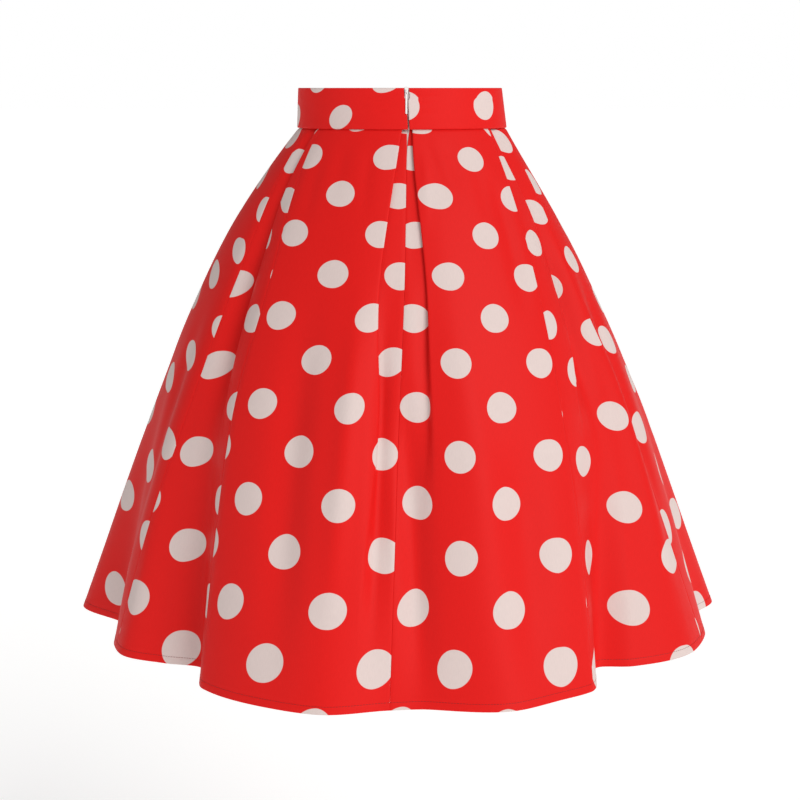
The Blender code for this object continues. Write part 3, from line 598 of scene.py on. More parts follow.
def crease_push(turn, fall):
    """Sum of the creases: depth times a bell curve of the distance across its line, times a
    rise and fall along it."""
    degrees = round_degrees(turn)
    width, depth = half_sizes(fall[:, None])
    round_metres = np.radians(1.0) * 0.5 * (width + depth)
    total = np.zeros_like(turn)
    for low_turn, low_fall, high_turn, high_fall, half_width, height in CREASES:
        run = np.clip((fall - low_fall) / (high_fall - low_fall), -0.5, 1.5)[:, None]
        across = (degrees - mix(low_turn, high_turn, run)) * round_metres
        ends = ease(0.0, 0.35, run) * (1.0 - ease(0.55, 1.0, run))
        total += height / 1000.0 * bell(across, half_width / 1000.0) * ends
    return total


def plan(turn, depth, fall):
    """Points of the cloth's middle in plan: radius = oval + lines + creases - depth."""
    width, half_depth = half_sizes(fall[:, None])
    radius = oval_radius(turn, width, half_depth) + push_out(turn, fall) - depth
    radius = radius + crease_push(turn, fall)
    across = radius * np.sin(turn) + lean(fall[:, None])
    return np.stack([across, -radius * np.cos(turn)], axis=2)


def seam_line(turns, fall, shift=0.0):
    """Turn of a seam at each row, shifted by some metres along the cloth."""
    turn = np.radians(at_height(turns, fall))[:, None]
    width, half_depth = half_sizes(fall[:, None])
    return turn + shift / oval_speed(turn, width, half_depth)


def fold_shape(name, fall):
    """Place across and depth of a fold's columns: an arc, a straight run, the same arc turned
    back and a level stretch. Going down, the arcs open from a half turn to a faint step."""
    _, shuts, _ = FOLDS[name]
    stepping = ease(STEPPING[0] * shuts, STEPPING[1] * shuts, fall)
    opening = ease(OPENING[0] * shuts, OPENING[1] * shuts, fall)
    angle = np.radians(mix(SHUT_ANGLE, STEP_ANGLE, stepping))
    angle = mix(angle, math.radians(OPEN_ANGLE), opening)[:, None]
    radius = mix(SHUT_RADIUS, STEP_RADIUS, stepping)
    radius = mix(radius, OPEN_RADIUS, opening)[:, None]
    run = np.maximum(FOLD_UNDER * (1.0 - fall / shuts), LAYER_PITCH)
    run = mix(run, OPEN_RUN, opening)[:, None]
    part = np.linspace(0.0, 1.0, ARC_STEPS + 1)
    arc = np.stack([radius * np.sin(angle * part), radius * (1.0 - np.cos(angle * part))])
    way = np.stack([np.cos(angle), np.sin(angle)])
    centre = arc[:, :, -1:] + 0.5 * run * way
    straight = arc[:, :, -1:] + run * way * np.linspace(0.0, 1.0, RUN_STEPS + 1)[1:-1]
    back = 2.0 * centre - arc[:, :, ::-1]
    foot = back[:, :, -1:]
    shut_edge = radius * np.sin(np.minimum(angle, 0.5 * math.pi))
    shutness = np.clip((angle - 0.5 * math.pi) / (0.5 * math.pi), 0.0, 1.0)
    edge = mix(centre[0], shut_edge, shutness)
    spread = mix(FOLD_SPREAD_WAIST, FOLD_SPREAD_HEM, fall[:, None])
    beyond = np.hypot(np.minimum(foot[0] - edge, 0.0), spread)
    level = np.linspace(0.0, 1.0, SPREAD_STEPS + 1)[1:]
    rest = np.stack([foot[0] + beyond * level, foot[1] + 0.0 * level])
    place, depth = np.concatenate([arc, straight, back, rest], axis=2)
    return place - edge, depth * (1.0 - opening)[:, None]


def fold_columns(name, fall):
    """Turn and depth of a fold's columns, in the order of their turns when it lies open."""
    turns, _, faces = FOLDS[name]
    edge = np.radians(at_height(turns, fall))[:, None]
    width, half_depth = half_sizes(fall[:, None])
    place, depth = fold_shape(name, fall)
    turn = edge + faces * place / oval_speed(edge, width, half_depth)
    if faces < 0:
        return turn[:, ::-1], depth[:, ::-1]
    return turn, depth


def between(low, high, count):
    """Columns spaced evenly between two edges, with an eased depth."""
    parts = (np.arange(count) + 1.0) / (count + 1.0)
    return mix(low[0], high[0], parts), mix(low[1], high[1], ease(0.0, 1.0, parts))


def lay_columns(parts):
    """Joins edges, folds and counts of plain columns into one run across a panel."""
    turns = []
    depths = []
    for index, item in enumerate(parts):
        if isinstance(item, int):
            low = parts[index - 1]
            high = parts[index + 1]
            item = between((low[0][:, -1:], low[1][:, -1:]), (high[0][:, :1], high[1][:, :1]), item)
        turns.append(item[0])
        depths.append(item[1])
    return np.concatenate(turns, axis=1), np.concatenate(depths, axis=1)


def slit_widths(fall):
    """Width of the zip's slit, which closes by a straight line a little below the seam."""
    return SLIT_WAIST * np.clip(1.0 - fall / SLIT_CLOSED, 0.0, 1.0)


def edge_at(turns, fall, side):
    """A panel's edge at a seam: half the seam's gap to one side of it, and half the slit at the
    zip. In a box pleat it lies midway between the lowest layers of the folds beside it."""
    shift = 0.5 * side * SEAM_GAP
    if turns == BACK_SEAM:
        shift = shift + 0.5 * side * slit_widths(fall)[:, None]
    turn = seam_line(turns, fall, shift)
    depths = [fold_shape(name, fall)[1][:, -1:] for name in BOX_PLEATS.get(turns, ())]
    return turn, 0.5 * sum(depths, np.zeros_like(turn))


def skirt_rows():
    """Fall, height and tuck of each row: a few tucked up behind the band, close ones in the dip
    below the seam, even steps down the cloth, and close ones at the hem."""
    tuck = np.array([row[1] for row in TUCK_ROWS])
    above = SEAM_LEVEL + np.array([row[0] for row in TUCK_ROWS]) / 1000.0
    hem = SEAM_LEVEL - SKIRT_DROP + np.array(HEM_ROWS)[::-1] / 1000.0
    top = SEAM_LEVEL - GAP
    count = int(round((top - hem[0]) / ROW_STEP)) - 1
    plain = np.linspace(top - ROW_STEP, hem[0], count, endpoint=False)
    plain = np.concatenate([top - np.array(SEAM_ROWS) / 1000.0, plain])
    levels = np.concatenate([above, plain, hem])
    tucks = np.concatenate([tuck, np.zeros(len(plain) + len(hem))])
    fall = np.clip((SEAM_LEVEL - GAP - levels) / (SKIRT_DROP - GAP), 0.0, 1.0)
    return fall, levels, tucks


def surface_normals(points):
    """Unit cross products of the steps down and along the grid, which point outwards."""
    along = np.gradient(points, axis=1)
    down = np.gradient(points, axis=0)
    normal = np.cross(down, along)
    return normal / np.linalg.norm(normal, axis=2, keepdims=True)


def arc_lengths(points):
    """Metres along each row from its first column."""
    steps = np.linalg.norm(np.diff(points, axis=1), axis=2)
    return np.concatenate([np.zeros((len(points), 1)), np.cumsum(steps, axis=1)], axis=1)


def turned_in(points, side):
    """Points with a seam allowance added at the first (side 0) or last (side 1) column: a half
    circle inwards, then two columns back under the panel."""
    order = slice(None) if side == 0 else slice(None, None, -1)
    grid = points[:, order]
    normal = surface_normals(points)[:, order]
    out = grid[:, 0] - grid[:, 1]
    out = out / np.linalg.norm(out, axis=1, keepdims=True)
    back_off = TURN_IN_RADIUS + CLOTH_HALF - 0.5 * SEAM_GAP
    base = grid[:, 0] - out * back_off
    angle = np.linspace(0.0, math.pi, TURN_IN_STEPS + 1)[:, None, None]
    bend = (base + TURN_IN_RADIUS * np.sin(angle) * out
            - TURN_IN_RADIUS * (1.0 - np.cos(angle)) * normal[:, 0])
    under = grid[:, 1:3] - 2.0 * TURN_IN_RADIUS * normal[:, 1:3]
    bend = np.moveaxis(bend, 0, 1)
    return np.concatenate([under[:, ::-1], bend[:, ::-1], grid[:, 1:]], axis=1)[:, order]


def quad_strips(grid, back):
    """Corner numbers of the outer face, the inner face and the four edges of a shell."""
    def quads(first, second, third, fourth):
        return np.stack([np.ravel(first), np.ravel(second), np.ravel(third), np.ravel(fourth)],
                        axis=1)

    outer = quads(grid[1:, :-1], grid[1:, 1:], grid[:-1, 1:], grid[:-1, :-1])
    inner = quads(back[:-1, :-1], back[:-1, 1:], back[1:, 1:], back[1:, :-1])
    edges = np.concatenate([
        quads(grid[0, :-1], grid[0, 1:], back[0, 1:], back[0, :-1]),
        quads(back[-1, :-1], back[-1, 1:], grid[-1, 1:], grid[-1, :-1]),
        quads(grid[1:, 0], grid[:-1, 0], back[:-1, 0], back[1:, 0]),
        quads(back[1:, -1], back[:-1, -1], grid[:-1, -1], grid[1:, -1]),
    ])
    return outer, inner, edges


def mesh_piece(name, points, corners, finishes, kinds=None, maps=()):
    """A piece from an array of points and one of four-cornered faces. Kinds is the number of
    each face's finish, and maps are pairs of a name and each point's place on that map."""
    mesh = bpy.data.meshes.new(name)
    mesh.vertices.add(len(points))
    mesh.vertices.foreach_set("co", np.asarray(points, np.float32).ravel())
    mesh.loops.add(corners.size)
    mesh.loops.foreach_set("vertex_index", corners.astype(np.int32).ravel())
    mesh.polygons.add(len(corners))
    mesh.polygons.foreach_set("loop_start", np.arange(0, corners.size, 4, dtype=np.int32))
    if kinds is not None:
        mesh.polygons.foreach_set("material_index", kinds.astype(np.int32))
    mesh.update(calc_edges=True)
    for title, places in maps:
        layer = mesh.uv_layers.new(name=title)
        layer.data.foreach_set("uv", places[corners.ravel()].astype(np.float32).ravel())
    mesh.validate()
    for finish in finishes:
        mesh.materials.append(finish)
    mesh.shade_smooth()
    mesh.set_sharp_from_angle(angle=SHARP_ANGLE)
    piece = bpy.data.objects.new(name, mesh)
    bpy.context.scene.collection.objects.link(piece)
    return piece


def shell_piece(name, middle, normals, outwards, inwards, finishes, maps):
    """A closed thin shell: the middle moved out and in along its normals."""
    outer = middle + outwards * normals
    inner = middle - inwards * normals
    rows, columns = middle.shape[:2]
    grid = np.arange(rows * columns).reshape(rows, columns)
    corners = quad_strips(grid, grid + rows * columns)
    kinds = np.repeat([0, 1, 0], [len(part) for part in corners])
    points = np.concatenate([outer.reshape(-1, 3), inner.reshape(-1, 3)])
    doubled = [(title, np.tile(places.reshape(-1, 2), (2, 1))) for title, places in maps]
    return mesh_piece(name, points, np.concatenate(corners), finishes, kinds, doubled)


def hem_offsets(levels):
    """How far the outer and inner faces lie from the middle: thicker over the turned-up hem,
    rounded at its foot, with a shallow groove under the stitches on the outside."""
    above = levels - (SEAM_LEVEL - SKIRT_DROP)
    hem = 1.0 - ease(HEM_TOP[0], HEM_TOP[1], above)
    to_foot = 1.0 - np.minimum(above / HEM_FOOT, 1.0)
    rounding = np.sqrt(np.clip(1.0 - to_foot ** 2, HEM_FOOT_LEAST, 1.0))
    groove = bell(above - STITCH_ABOVE_HEM / 1000.0, GROOVE_HALF_WIDTH)
    outer = (CLOTH_HALF + HEM_OUT * hem) * rounding - GROOVE_DEPTH * groove
    inner = (CLOTH_HALF + HEM_IN * hem) * rounding
    return outer[:, None, None], inner[:, None, None]


def print_rows(fall):
    """Number of dot rows from the waist seam down to a fall, by a quadratic."""
    return ROWS_START + ROWS_FIRST * fall + ROWS_SECOND * fall ** 2


def count_columns(lengths, numbers, lines, step):
    """Number of dot columns along each row: straight from one column line to the next, and a
    step a column beyond the outermost ones."""
    columns = numbers[0] + np.minimum(lengths - lines[0], 0.0) / step
    for index in range(len(numbers) - 1):
        low, high = lines[index], lines[index + 1]
        share = np.clip((lengths - low) / (high - low), 0.0, 1.0)
        columns = columns + share * (numbers[index + 1] - numbers[index])
    return columns + np.maximum(lengths - lines[-1], 0.0) / step


def print_place(name, lengths, fall, levels, first, last):
    """Place on the print: the first number counts columns of dots along the cloth, the second
    counts rows down it."""
    near, table = PRINTS[name]
    step = at_height(COLUMN_STEP, fall)[:, None] / 1000.0
    table = sorted(table)
    numbers = [number for number, _, _ in table]
    lines = [at_height(line, fall)[:, None] / 1000.0 for _, _, line in table]
    if near == "first":
        lines = [lengths[:, first:first + 1] + line for line in lines]
    else:
        lines = [lengths[:, last:last + 1] - line for line in lines]
    columns = count_columns(lengths, numbers, lines, step)
    at_waist = np.interp(columns, numbers, [lowering[0] for _, lowering, _ in table])
    at_hem = np.interp(columns, numbers, [lowering[1] for _, lowering, _ in table])
    lowered = mix(at_waist, at_hem, fall[:, None])
    above = np.maximum(levels - SEAM_LEVEL, 0.0)[:, None] / BAND_COLUMN_STEP
    down = print_rows(fall)[:, None] - above - lowered
    return np.stack([columns, down], axis=2)


def panel_columns(name, fall):
    """Turn and depth of a panel's columns: its seams, folds and plain cloth."""
    first, *across, last = PANELS[name]
    parts = [fold_columns(part, fall) if isinstance(part, str) else part for part in across]
    return lay_columns([edge_at(first, fall, 1), *parts, edge_at(last, fall, -1)])


def panel_middle(name, rows):
    """Middle of a panel's cloth, tucked in behind the band and with a dip below the seam."""
    fall, levels, tucks = rows
    turn, depth = panel_columns(name, fall)
    down = np.maximum(SEAM_LEVEL - GAP - levels, 0.0)
    dip = SEAM_DIP * np.exp(-(down / SEAM_DIP_HEIGHT) ** 2) * (1.0 - tucks)
    depth = depth * (1.0 - TUCK_FLATTENS * tucks[:, None]) + (TUCK_DEPTH * tucks + dip)[:, None]
    flat = plan(turn, depth, fall)
    height = np.broadcast_to(levels[:, None, None], flat.shape[:2] + (1,))
    return np.concatenate([flat, height], axis=2)


def panel(name, rows, finishes):
    """One cut panel of the skirt as a thin shell with turned-in seams and a stitched hem."""
    fall, levels, _ = rows
    middle = panel_middle(name, rows)
    middle = turned_in(turned_in(middle, 0), 1)
    normals = surface_normals(middle)
    outwards, inwards = hem_offsets(levels)
    lengths = arc_lengths(middle)
    cloth = np.stack([lengths, np.broadcast_to(levels[:, None], lengths.shape)], axis=2)
    first = TURN_IN_STEPS + 2
    last = lengths.shape[1] - 1 - first
    places = print_place(name, lengths, fall, levels, first, last)
    maps = (("print", places), ("cloth", cloth))
    piece = shell_piece(name + "_cloth", middle, normals, outwards, inwards, finishes, maps)
    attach(piece, "skirt")
    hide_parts(name)
    return piece, middle


def group_of(name, inputs, outputs):
    """An empty node group with named sockets, each given as its name, kind and default."""
    made = bpy.data.node_groups.new(name, "ShaderNodeTree")
    for title, kind, value in inputs:
        socket = made.interface.new_socket(name=title, in_out="INPUT", socket_type=kind)
        if value is not None:
            socket.default_value = value
    for title, kind in outputs:
        made.interface.new_socket(name=title, in_out="OUTPUT", socket_type=kind)
    return made, made.nodes.new("NodeGroupInput"), made.nodes.new("NodeGroupOutput")


def math_node(tree, kind, *values):
    """A math node whose inputs are numbers or other nodes' outputs."""
    node = tree.nodes.new("ShaderNodeMath")
    node.operation = kind
    for index, value in enumerate(values):
        if isinstance(value, (int, float)):
            node.inputs[index].default_value = value
        else:
            tree.links.new(value, node.inputs[index])
    return node.outputs[0]


def set_inputs(node, values):
    """Sets sockets, given by name, to constants."""
    for title, value in values.items():
        node.inputs[title].default_value = value


def dots_group():
    """Polka dots on a slanted square grid. With a = (x + y) / 2 and b = (y - x) / 2, each dot's
    centre is where both are whole, and a point is printed where its distance to the nearest
    centre is under the radius."""
    if "polka dots" in bpy.data.node_groups:
        return bpy.data.node_groups["polka dots"]
    made, given, out = group_of(
        "polka dots",
        [("Place", "NodeSocketVector", None), ("Radius", "NodeSocketFloat", 0.33),
         ("Column Ratio", "NodeSocketFloat", 0.985), ("Softness", "NodeSocketFloat", 0.006)],
        [("Dots", "NodeSocketFloat")])
    split = made.nodes.new("ShaderNodeSeparateXYZ")
    made.links.new(given.outputs["Place"], split.inputs[0])
    across, down = split.outputs[0], split.outputs[1]
    first = math_node(made, "MULTIPLY", math_node(made, "ADD", across, down), 0.5)
    second = math_node(made, "MULTIPLY", math_node(made, "SUBTRACT", down, across), 0.5)
    first_off = math_node(made, "SUBTRACT", first, math_node(made, "ROUND", first))
    second_off = math_node(made, "SUBTRACT", second, math_node(made, "ROUND", second))
    across_off = math_node(made, "SUBTRACT", first_off, second_off)
    across_off = math_node(made, "MULTIPLY", across_off, given.outputs["Column Ratio"])
    down_off = math_node(made, "ADD", first_off, second_off)
    square = math_node(made, "ADD", math_node(made, "MULTIPLY", across_off, across_off),
                       math_node(made, "MULTIPLY", down_off, down_off))
    distance = math_node(made, "SQRT", square)
    edge = made.nodes.new("ShaderNodeMapRange")
    edge.interpolation_type = "SMOOTHSTEP"
    made.links.new(distance, edge.inputs["Value"])
    made.links.new(math_node(made, "SUBTRACT", given.outputs["Radius"], given.outputs["Softness"]),
                   edge.inputs["From Min"])
    made.links.new(math_node(made, "ADD", given.outputs["Radius"], given.outputs["Softness"]),
                   edge.inputs["From Max"])
    set_inputs(edge, {"To Min": 1.0, "To Max": 0.0})
    made.links.new(edge.outputs[0], out.inputs["Dots"])
    return made


def weave_group():
    """Plain weave: two crossed sine waves whose product lifts and lowers the threads, with slow
    unevenness from a stretched noise."""
    if "weave" in bpy.data.node_groups:
        return bpy.data.node_groups["weave"]
    made, given, out = group_of(
        "weave",
        [("Place", "NodeSocketVector", None), ("Threads", "NodeSocketFloat", 2380.0)],
        [("Height", "NodeSocketFloat"), ("Unevenness", "NodeSocketFloat")])
    split = made.nodes.new("ShaderNodeSeparateXYZ")
    made.links.new(given.outputs["Place"], split.inputs[0])
    turns = math_node(made, "MULTIPLY", given.outputs["Threads"], math.pi)
    warp = math_node(made, "SINE", math_node(made, "MULTIPLY", split.outputs[0], turns))
    weft = math_node(made, "SINE", math_node(made, "MULTIPLY", split.outputs[1], turns))
    over = math_node(made, "MULTIPLY", warp, weft)
    lift = math_node(made, "MULTIPLY_ADD", over, 0.5, 0.5)
    stretch = made.nodes.new("ShaderNodeMapping")
    set_inputs(stretch, {"Scale": (900.0, 160.0, 1.0)})
    made.links.new(given.outputs["Place"], stretch.inputs["Vector"])
    noise = made.nodes.new("ShaderNodeTexNoise")
    set_inputs(noise, {"Scale": 1.0, "Detail": 3.0})
    made.links.new(stretch.outputs[0], noise.inputs["Vector"])
    made.links.new(lift, out.inputs["Height"])
    made.links.new(noise.outputs[0], out.inputs["Unevenness"])
    return made


def uv_place(tree, title):
    """Output of a node that reads the map of that name."""
    node = tree.nodes.new("ShaderNodeUVMap")
    node.uv_map = title
    return node.outputs[0]


def placed_group(tree, group, **given):
    """A node group in a material, with numbers and links for its inputs."""
    node = tree.nodes.new("ShaderNodeGroup")
    node.node_tree = group
    for title, value in given.items():
        socket = node.inputs[title.replace("_", " ").title()]
        if isinstance(value, (int, float)):
            socket.default_value = value
        else:
            tree.links.new(value, socket)
    return node


def mix_colour(tree, share, first, second, kind="MIX"):
    """A colour mixed from two, by a number or a link."""
    node = tree.nodes.new("ShaderNodeMix")
    node.data_type = "RGBA"
    node.blend_type = kind
    for index, value in ((0, share), (6, first), (7, second)):
        socket = node.inputs[index]
        if isinstance(value, bpy.types.NodeSocket):
            tree.links.new(value, socket)
        else:
            socket.default_value = value
    return node.outputs[2]


def new_finish(name):
    """A material of that name, with its node tree and its shader."""
    made = bpy.data.materials.new(name)
    made.use_nodes = True
    return made, made.node_tree, made.node_tree.nodes["Principled BSDF"]


def on_object(tree, kind, values):
    """A texture node of that kind on object coordinates, with constants for its sockets."""
    place = tree.nodes.new("ShaderNodeTexCoord")
    texture = tree.nodes.new(kind)
    set_inputs(texture, values)
    tree.links.new(place.outputs["Object"], texture.inputs["Vector"])
    return texture


def shaded(tree, shader, colour, pattern, least):
    """Base colour that a pattern takes from a share of its brightness up to all of it."""
    dark = tuple(least * part for part in colour[:3]) + (1.0,)
    tree.links.new(mix_colour(tree, pattern, dark, tuple(colour)), shader.inputs["Base Color"])


def bumped(tree, shader, height, distance):
    """Bump by a pattern whose white lies that distance in metres above its black."""
    bump = tree.nodes.new("ShaderNodeBump")
    set_inputs(bump, {"Distance": distance})
    tree.links.new(height, bump.inputs["Height"])
    tree.links.new(bump.outputs[0], shader.inputs["Normal"])


def cloth_finish(name, wrong_side):
    """Printed cloth. The ground and dots come from the print map, small shade changes follow the
    threads, and the wrong side is a paler show-through of the same print."""
    if name in bpy.data.materials:
        return bpy.data.materials[name]
    cloth = bpy.context.scene.skirt_cloth
    dots = bpy.context.scene.skirt_print
    made, tree, shader = new_finish(name)
    spots = placed_group(tree, dots_group(), place=uv_place(tree, "print"),
                         radius=dots.dot_radius, column_ratio=dots.column_ratio)
    weave = placed_group(tree, weave_group(), place=uv_place(tree, "cloth"),
                         threads=1.0 / cloth.thread)
    colours = [tuple(cloth.red), tuple(cloth.dot)]
    if wrong_side:
        colours = [tuple(mix(own, pale, cloth.wrong_side) for own, pale in zip(colour, PALE_RED))
                   for colour in colours]
    colour = mix_colour(tree, spots.outputs["Dots"], *colours)
    ramp = tree.nodes.new("ShaderNodeMapRange")
    tree.links.new(weave.outputs["Unevenness"], ramp.inputs["Value"])
    set_inputs(ramp, {"From Min": 0.30, "From Max": 0.70, "To Min": 0.97, "To Max": 1.015})
    shade = tree.nodes.new("ShaderNodeCombineColor")
    for socket in shade.inputs:
        tree.links.new(ramp.outputs[0], socket)
    tree.links.new(mix_colour(tree, 1.0, colour, shade.outputs[0], "MULTIPLY"),
                   shader.inputs["Base Color"])
    rough = math_node(tree, "MULTIPLY_ADD", spots.outputs["Dots"], 0.10, cloth.roughness)
    tree.links.new(rough, shader.inputs["Roughness"])
    bumped(tree, shader, weave.outputs["Height"], cloth.grain)
    set_inputs(shader, {"Specular IOR Level": 0.1, "Sheen Weight": 0.02, "Sheen Roughness": 0.45,
                        "Sheen Tint": (1.0, 0.55, 0.50, 1.0)})
    return made


def thread_finish():
    """Sewing thread: darker and lighter strands from fine noise."""
    made, tree, shader = new_finish("sewing thread")
    noise = on_object(tree, "ShaderNodeTexNoise", {"Scale": 900.0})
    shaded(tree, shader, bpy.context.scene.skirt_hem.colour, noise.outputs[0], 0.7)
    set_inputs(shader, {"Roughness": 0.55})
    return made


def tape_finish():
    """Woven zip tape: slanted ribs by a wave texture, which shades and lifts them."""
    made, tree, shader = new_finish("zip tape weave")
    ribs = on_object(tree, "ShaderNodeTexWave", {"Scale": 420.0, "Distortion": 0.6})
    ribs.wave_type = "BANDS"
    ribs.bands_direction = "DIAGONAL"
    shaded(tree, shader, bpy.context.scene.skirt_zip.tape, ribs.outputs["Fac"], 0.82)
    bumped(tree, shader, ribs.outputs["Fac"], 0.00006)
    set_inputs(shader, {"Roughness": 0.8})
    return made


def teeth_finish():
    """Moulded coil: smooth plastic, with a faint shade between neighbours from noise."""
    made, tree, shader = new_finish("coil plastic")
    noise = on_object(tree, "ShaderNodeTexNoise", {"Scale": 1400.0})
    shaded(tree, shader, bpy.context.scene.skirt_zip.tape, noise.outputs[0], 0.88)
    set_inputs(shader, {"Roughness": 0.4})
    return made


def lacquer_finish():
    """White lacquer over cast metal: a smooth coat, faint mottling and slightly uneven gloss."""
    if "zip lacquer coat" in bpy.data.materials:
        return bpy.data.materials["zip lacquer coat"]
    made, tree, shader = new_finish("zip lacquer coat")
    noise = on_object(tree, "ShaderNodeTexNoise", {"Scale": 600.0, "Detail": 4.0})
    shaded(tree, shader, bpy.context.scene.skirt_zip.lacquer, noise.outputs[0], 0.90)
    rough = math_node(tree, "MULTIPLY_ADD", noise.outputs[0], 0.18, 0.22)
    tree.links.new(rough, shader.inputs["Roughness"])
    bumped(tree, shader, noise.outputs[0], 0.00001)
    set_inputs(shader, {"Coat Weight": 0.4, "Coat Roughness": 0.12})
    return made


def cloth_finishes():
    """Finishes of the right side and the wrong side."""
    return [cloth_finish("dotted cloth", False), cloth_finish("dotted cloth wrong side", True)]


def make_panels(names):
    """Panels of those names, each built as a thin shell of cloth."""
    rows = skirt_rows()
    for name in names:
        piece, middle = panel(name, rows, cloth_finishes())


def band_sizes(level):
    """Half width, half depth and lean of the waistband's middle at a height: straight lines."""
    down = (BAND_TOP - level) / BAND_HEIGHT
    width = mix(BAND_HALF_WIDTH, WAIST_HALF_WIDTH, down)
    depth = mix(BAND_HALF_DEPTH, WAIST_HALF_DEPTH, down)
    return width, depth, LEAN_WAIST * down


def band_point(turn, level, inside):
    """A point of the band: the oval of its height, less the distance inside."""
    width, depth, shift = band_sizes(level)
    radius = oval_radius(turn, width, depth) - inside
    return np.stack([radius * np.sin(turn) + shift, -radius * np.cos(turn),
                     level + 0.0 * turn], axis=-1)


def zip_turn():
    """Turn of the zip at the band: straight up from the top of the back seam."""
    return math.radians(BACK_SEAM[0])


def band_creases(turn, levels):
    """Push of the band's creases: a bell curve of the height above or below each one's line,
    times a rise and fall along it."""
    degrees = (np.degrees(turn) + 180.0) % 360.0 - 180.0
    total = np.zeros_like(turn)
    for low_turn, low_level, high_turn, high_level, half_width, height in BAND_CREASES:
        run = (degrees - low_turn) / (high_turn - low_turn)
        across = levels[:, None] - mix(low_level, high_level, run) / 1000.0
        ends = ease(0.0, 0.3, run) * (1.0 - ease(0.5, 1.0, run))
        total += height / 1000.0 * bell(across, half_width / 1000.0) * ends
    return total


def band_print(lengths, levels):
    """Place on the print: columns counted along the band, and rows down it, whose height and
    spacing change by a cubic step from the right side to the left."""
    whole = lengths[:, -1:]
    columns = [(number, place + 0.0 * whole) for number, place, _ in BAND_COLUMNS_RIGHT]
    columns += [(number, whole + place - lean_of * (BAND_TOP - levels)[:, None])
                for number, place, lean_of in BAND_COLUMNS_LEFT]
    numbers, lines = zip(*columns)
    across = count_columns(lengths, numbers, lines, BAND_COLUMN_STEP)
    share = ease(0.15, 0.50, lengths)
    row = mix(BAND_ROW_RIGHT, BAND_ROW_LEFT, share)
    row_step = mix(BAND_STEP_RIGHT, BAND_STEP_LEFT, share)
    return np.stack([across, (row - levels[:, None]) / row_step], axis=2)


def make_waistband():
    """The band: a strip once round, its edges rounded by a circular ease of the wall near them,
    slit at the centre back and wider round the slider, with small slanted pull creases."""
    plain = np.linspace(BAND_TOP - BAND_PLAIN_START, SEAM_LEVEL + BAND_PLAIN_START,
                        BAND_PLAIN_ROWS)
    levels = np.concatenate([BAND_TOP - BAND_EDGE_ROWS, plain, SEAM_LEVEL + BAND_EDGE_ROWS[::-1]])
    slit = mix(SLIT_BAND, SLIT_SLIDER, ease(BAND_TOP - SLIT_NARROW, BAND_TOP - SLIT_WIDE, levels))
    half = (0.5 * slit / BAND_HALF_DEPTH)[:, None]
    ends = BAND_EDGE_ROWS / BAND_ROUND
    plain = np.linspace(BAND_PLAIN_SHARE, 1.0 - BAND_PLAIN_SHARE, BAND_PLAIN_COLUMNS)
    parts = np.concatenate([ends, plain, 1.0 - ends[::-1]])
    turn = zip_turn() + half + (2.0 * math.pi - 2.0 * half) * parts
    points = band_point(turn, levels[:, None], -band_creases(turn, levels))
    normals = surface_normals(points)
    from_edge = np.minimum(BAND_TOP - levels, levels - SEAM_LEVEL)[:, None]
    from_end = (np.minimum(parts, 1.0 - parts) * BAND_ROUND)[None, :]
    near = np.clip(1.0 - np.minimum(from_edge, from_end) / BAND_CORNER, 0.0, 1.0)
    half_wall = (0.5 * BAND_WALL * np.sqrt(1.0 - BAND_CORNER_SHARE * near ** 2))[:, :, None]
    lengths = arc_lengths(points)
    cloth = np.stack([lengths, levels[:, None] + 0.0 * lengths], axis=2)
    maps = (("print", band_print(lengths, levels)), ("cloth", cloth))
    piece = shell_piece("waistband_cloth", points, normals, half_wall, half_wall,
                        cloth_finishes(), maps)
    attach(piece, "skirt")
    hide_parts("waistband")


def wrapped_quads(rows, sides):
    """Corner numbers of a tube's skin, whose columns close on themselves."""
    grid = np.arange(rows * sides).reshape(rows, sides)
    grid = np.concatenate([grid, grid[:, :1]], axis=1)
    return np.stack([grid[:-1, :-1].ravel(), grid[:-1, 1:].ravel(), grid[1:, 1:].ravel(),
                     grid[1:, :-1].ravel()], axis=1)


def capsule(length, radius, sides=6):
    """Unit stitch: a tube along X, thin at both ends, arched up along Z by a parabola."""
    along = np.array([-0.5, -0.47, -0.36, 0.0, 0.36, 0.47, 0.5])
    thick = radius * np.array([0.15, 0.62, 0.95, 1.0, 0.95, 0.62, 0.15])
    lift = radius * (0.45 - 3.2 * along ** 2)
    path = np.stack([along * length, np.zeros(7), lift], axis=1)
    angle = np.linspace(0.0, 2.0 * math.pi, sides, endpoint=False)
    ring = np.stack([np.zeros(sides), np.cos(angle), np.sin(angle)], axis=1)
    points = path[:, None] + thick[:, None, None] * ring[None]
    return points.reshape(-1, 3), wrapped_quads(7, sides)[:, ::-1]


def copies(points, corners, places, along, up):
    """A small shape repeated at many places, turned so that its X runs along and Z up."""
    along = along / np.linalg.norm(along, axis=1, keepdims=True)
    side = np.cross(up, along)
    side = side / np.linalg.norm(side, axis=1, keepdims=True)
    top = np.cross(along, side)
    moved = (places[:, None] + points[None, :, :1] * along[:, None]
             + points[None, :, 1:2] * side[:, None] + points[None, :, 2:] * top[:, None])
    shifts = np.arange(len(places))[:, None, None] * len(points)
    return moved.reshape(-1, 3), (corners[None] + shifts).reshape(-1, 4)


def along_line(wanted, lengths, line):
    """Values of a line of points at wanted lengths, straight between its points."""
    return np.stack([np.interp(wanted, lengths, line[:, i]) for i in range(3)], axis=1)


def even_places(line, step):
    """Places a step apart along a line of points, with the way it runs there."""
    lengths = np.concatenate([[0.0], np.cumsum(np.linalg.norm(np.diff(line, axis=0), axis=1))])
    count = int(lengths[-1] / step)
    wanted = (np.arange(count) + 0.5) * lengths[-1] / count
    small = 0.2 * step
    way = along_line(wanted + small, lengths, line) - along_line(wanted - small, lengths, line)
    return along_line(wanted, lengths, line), way, wanted, lengths


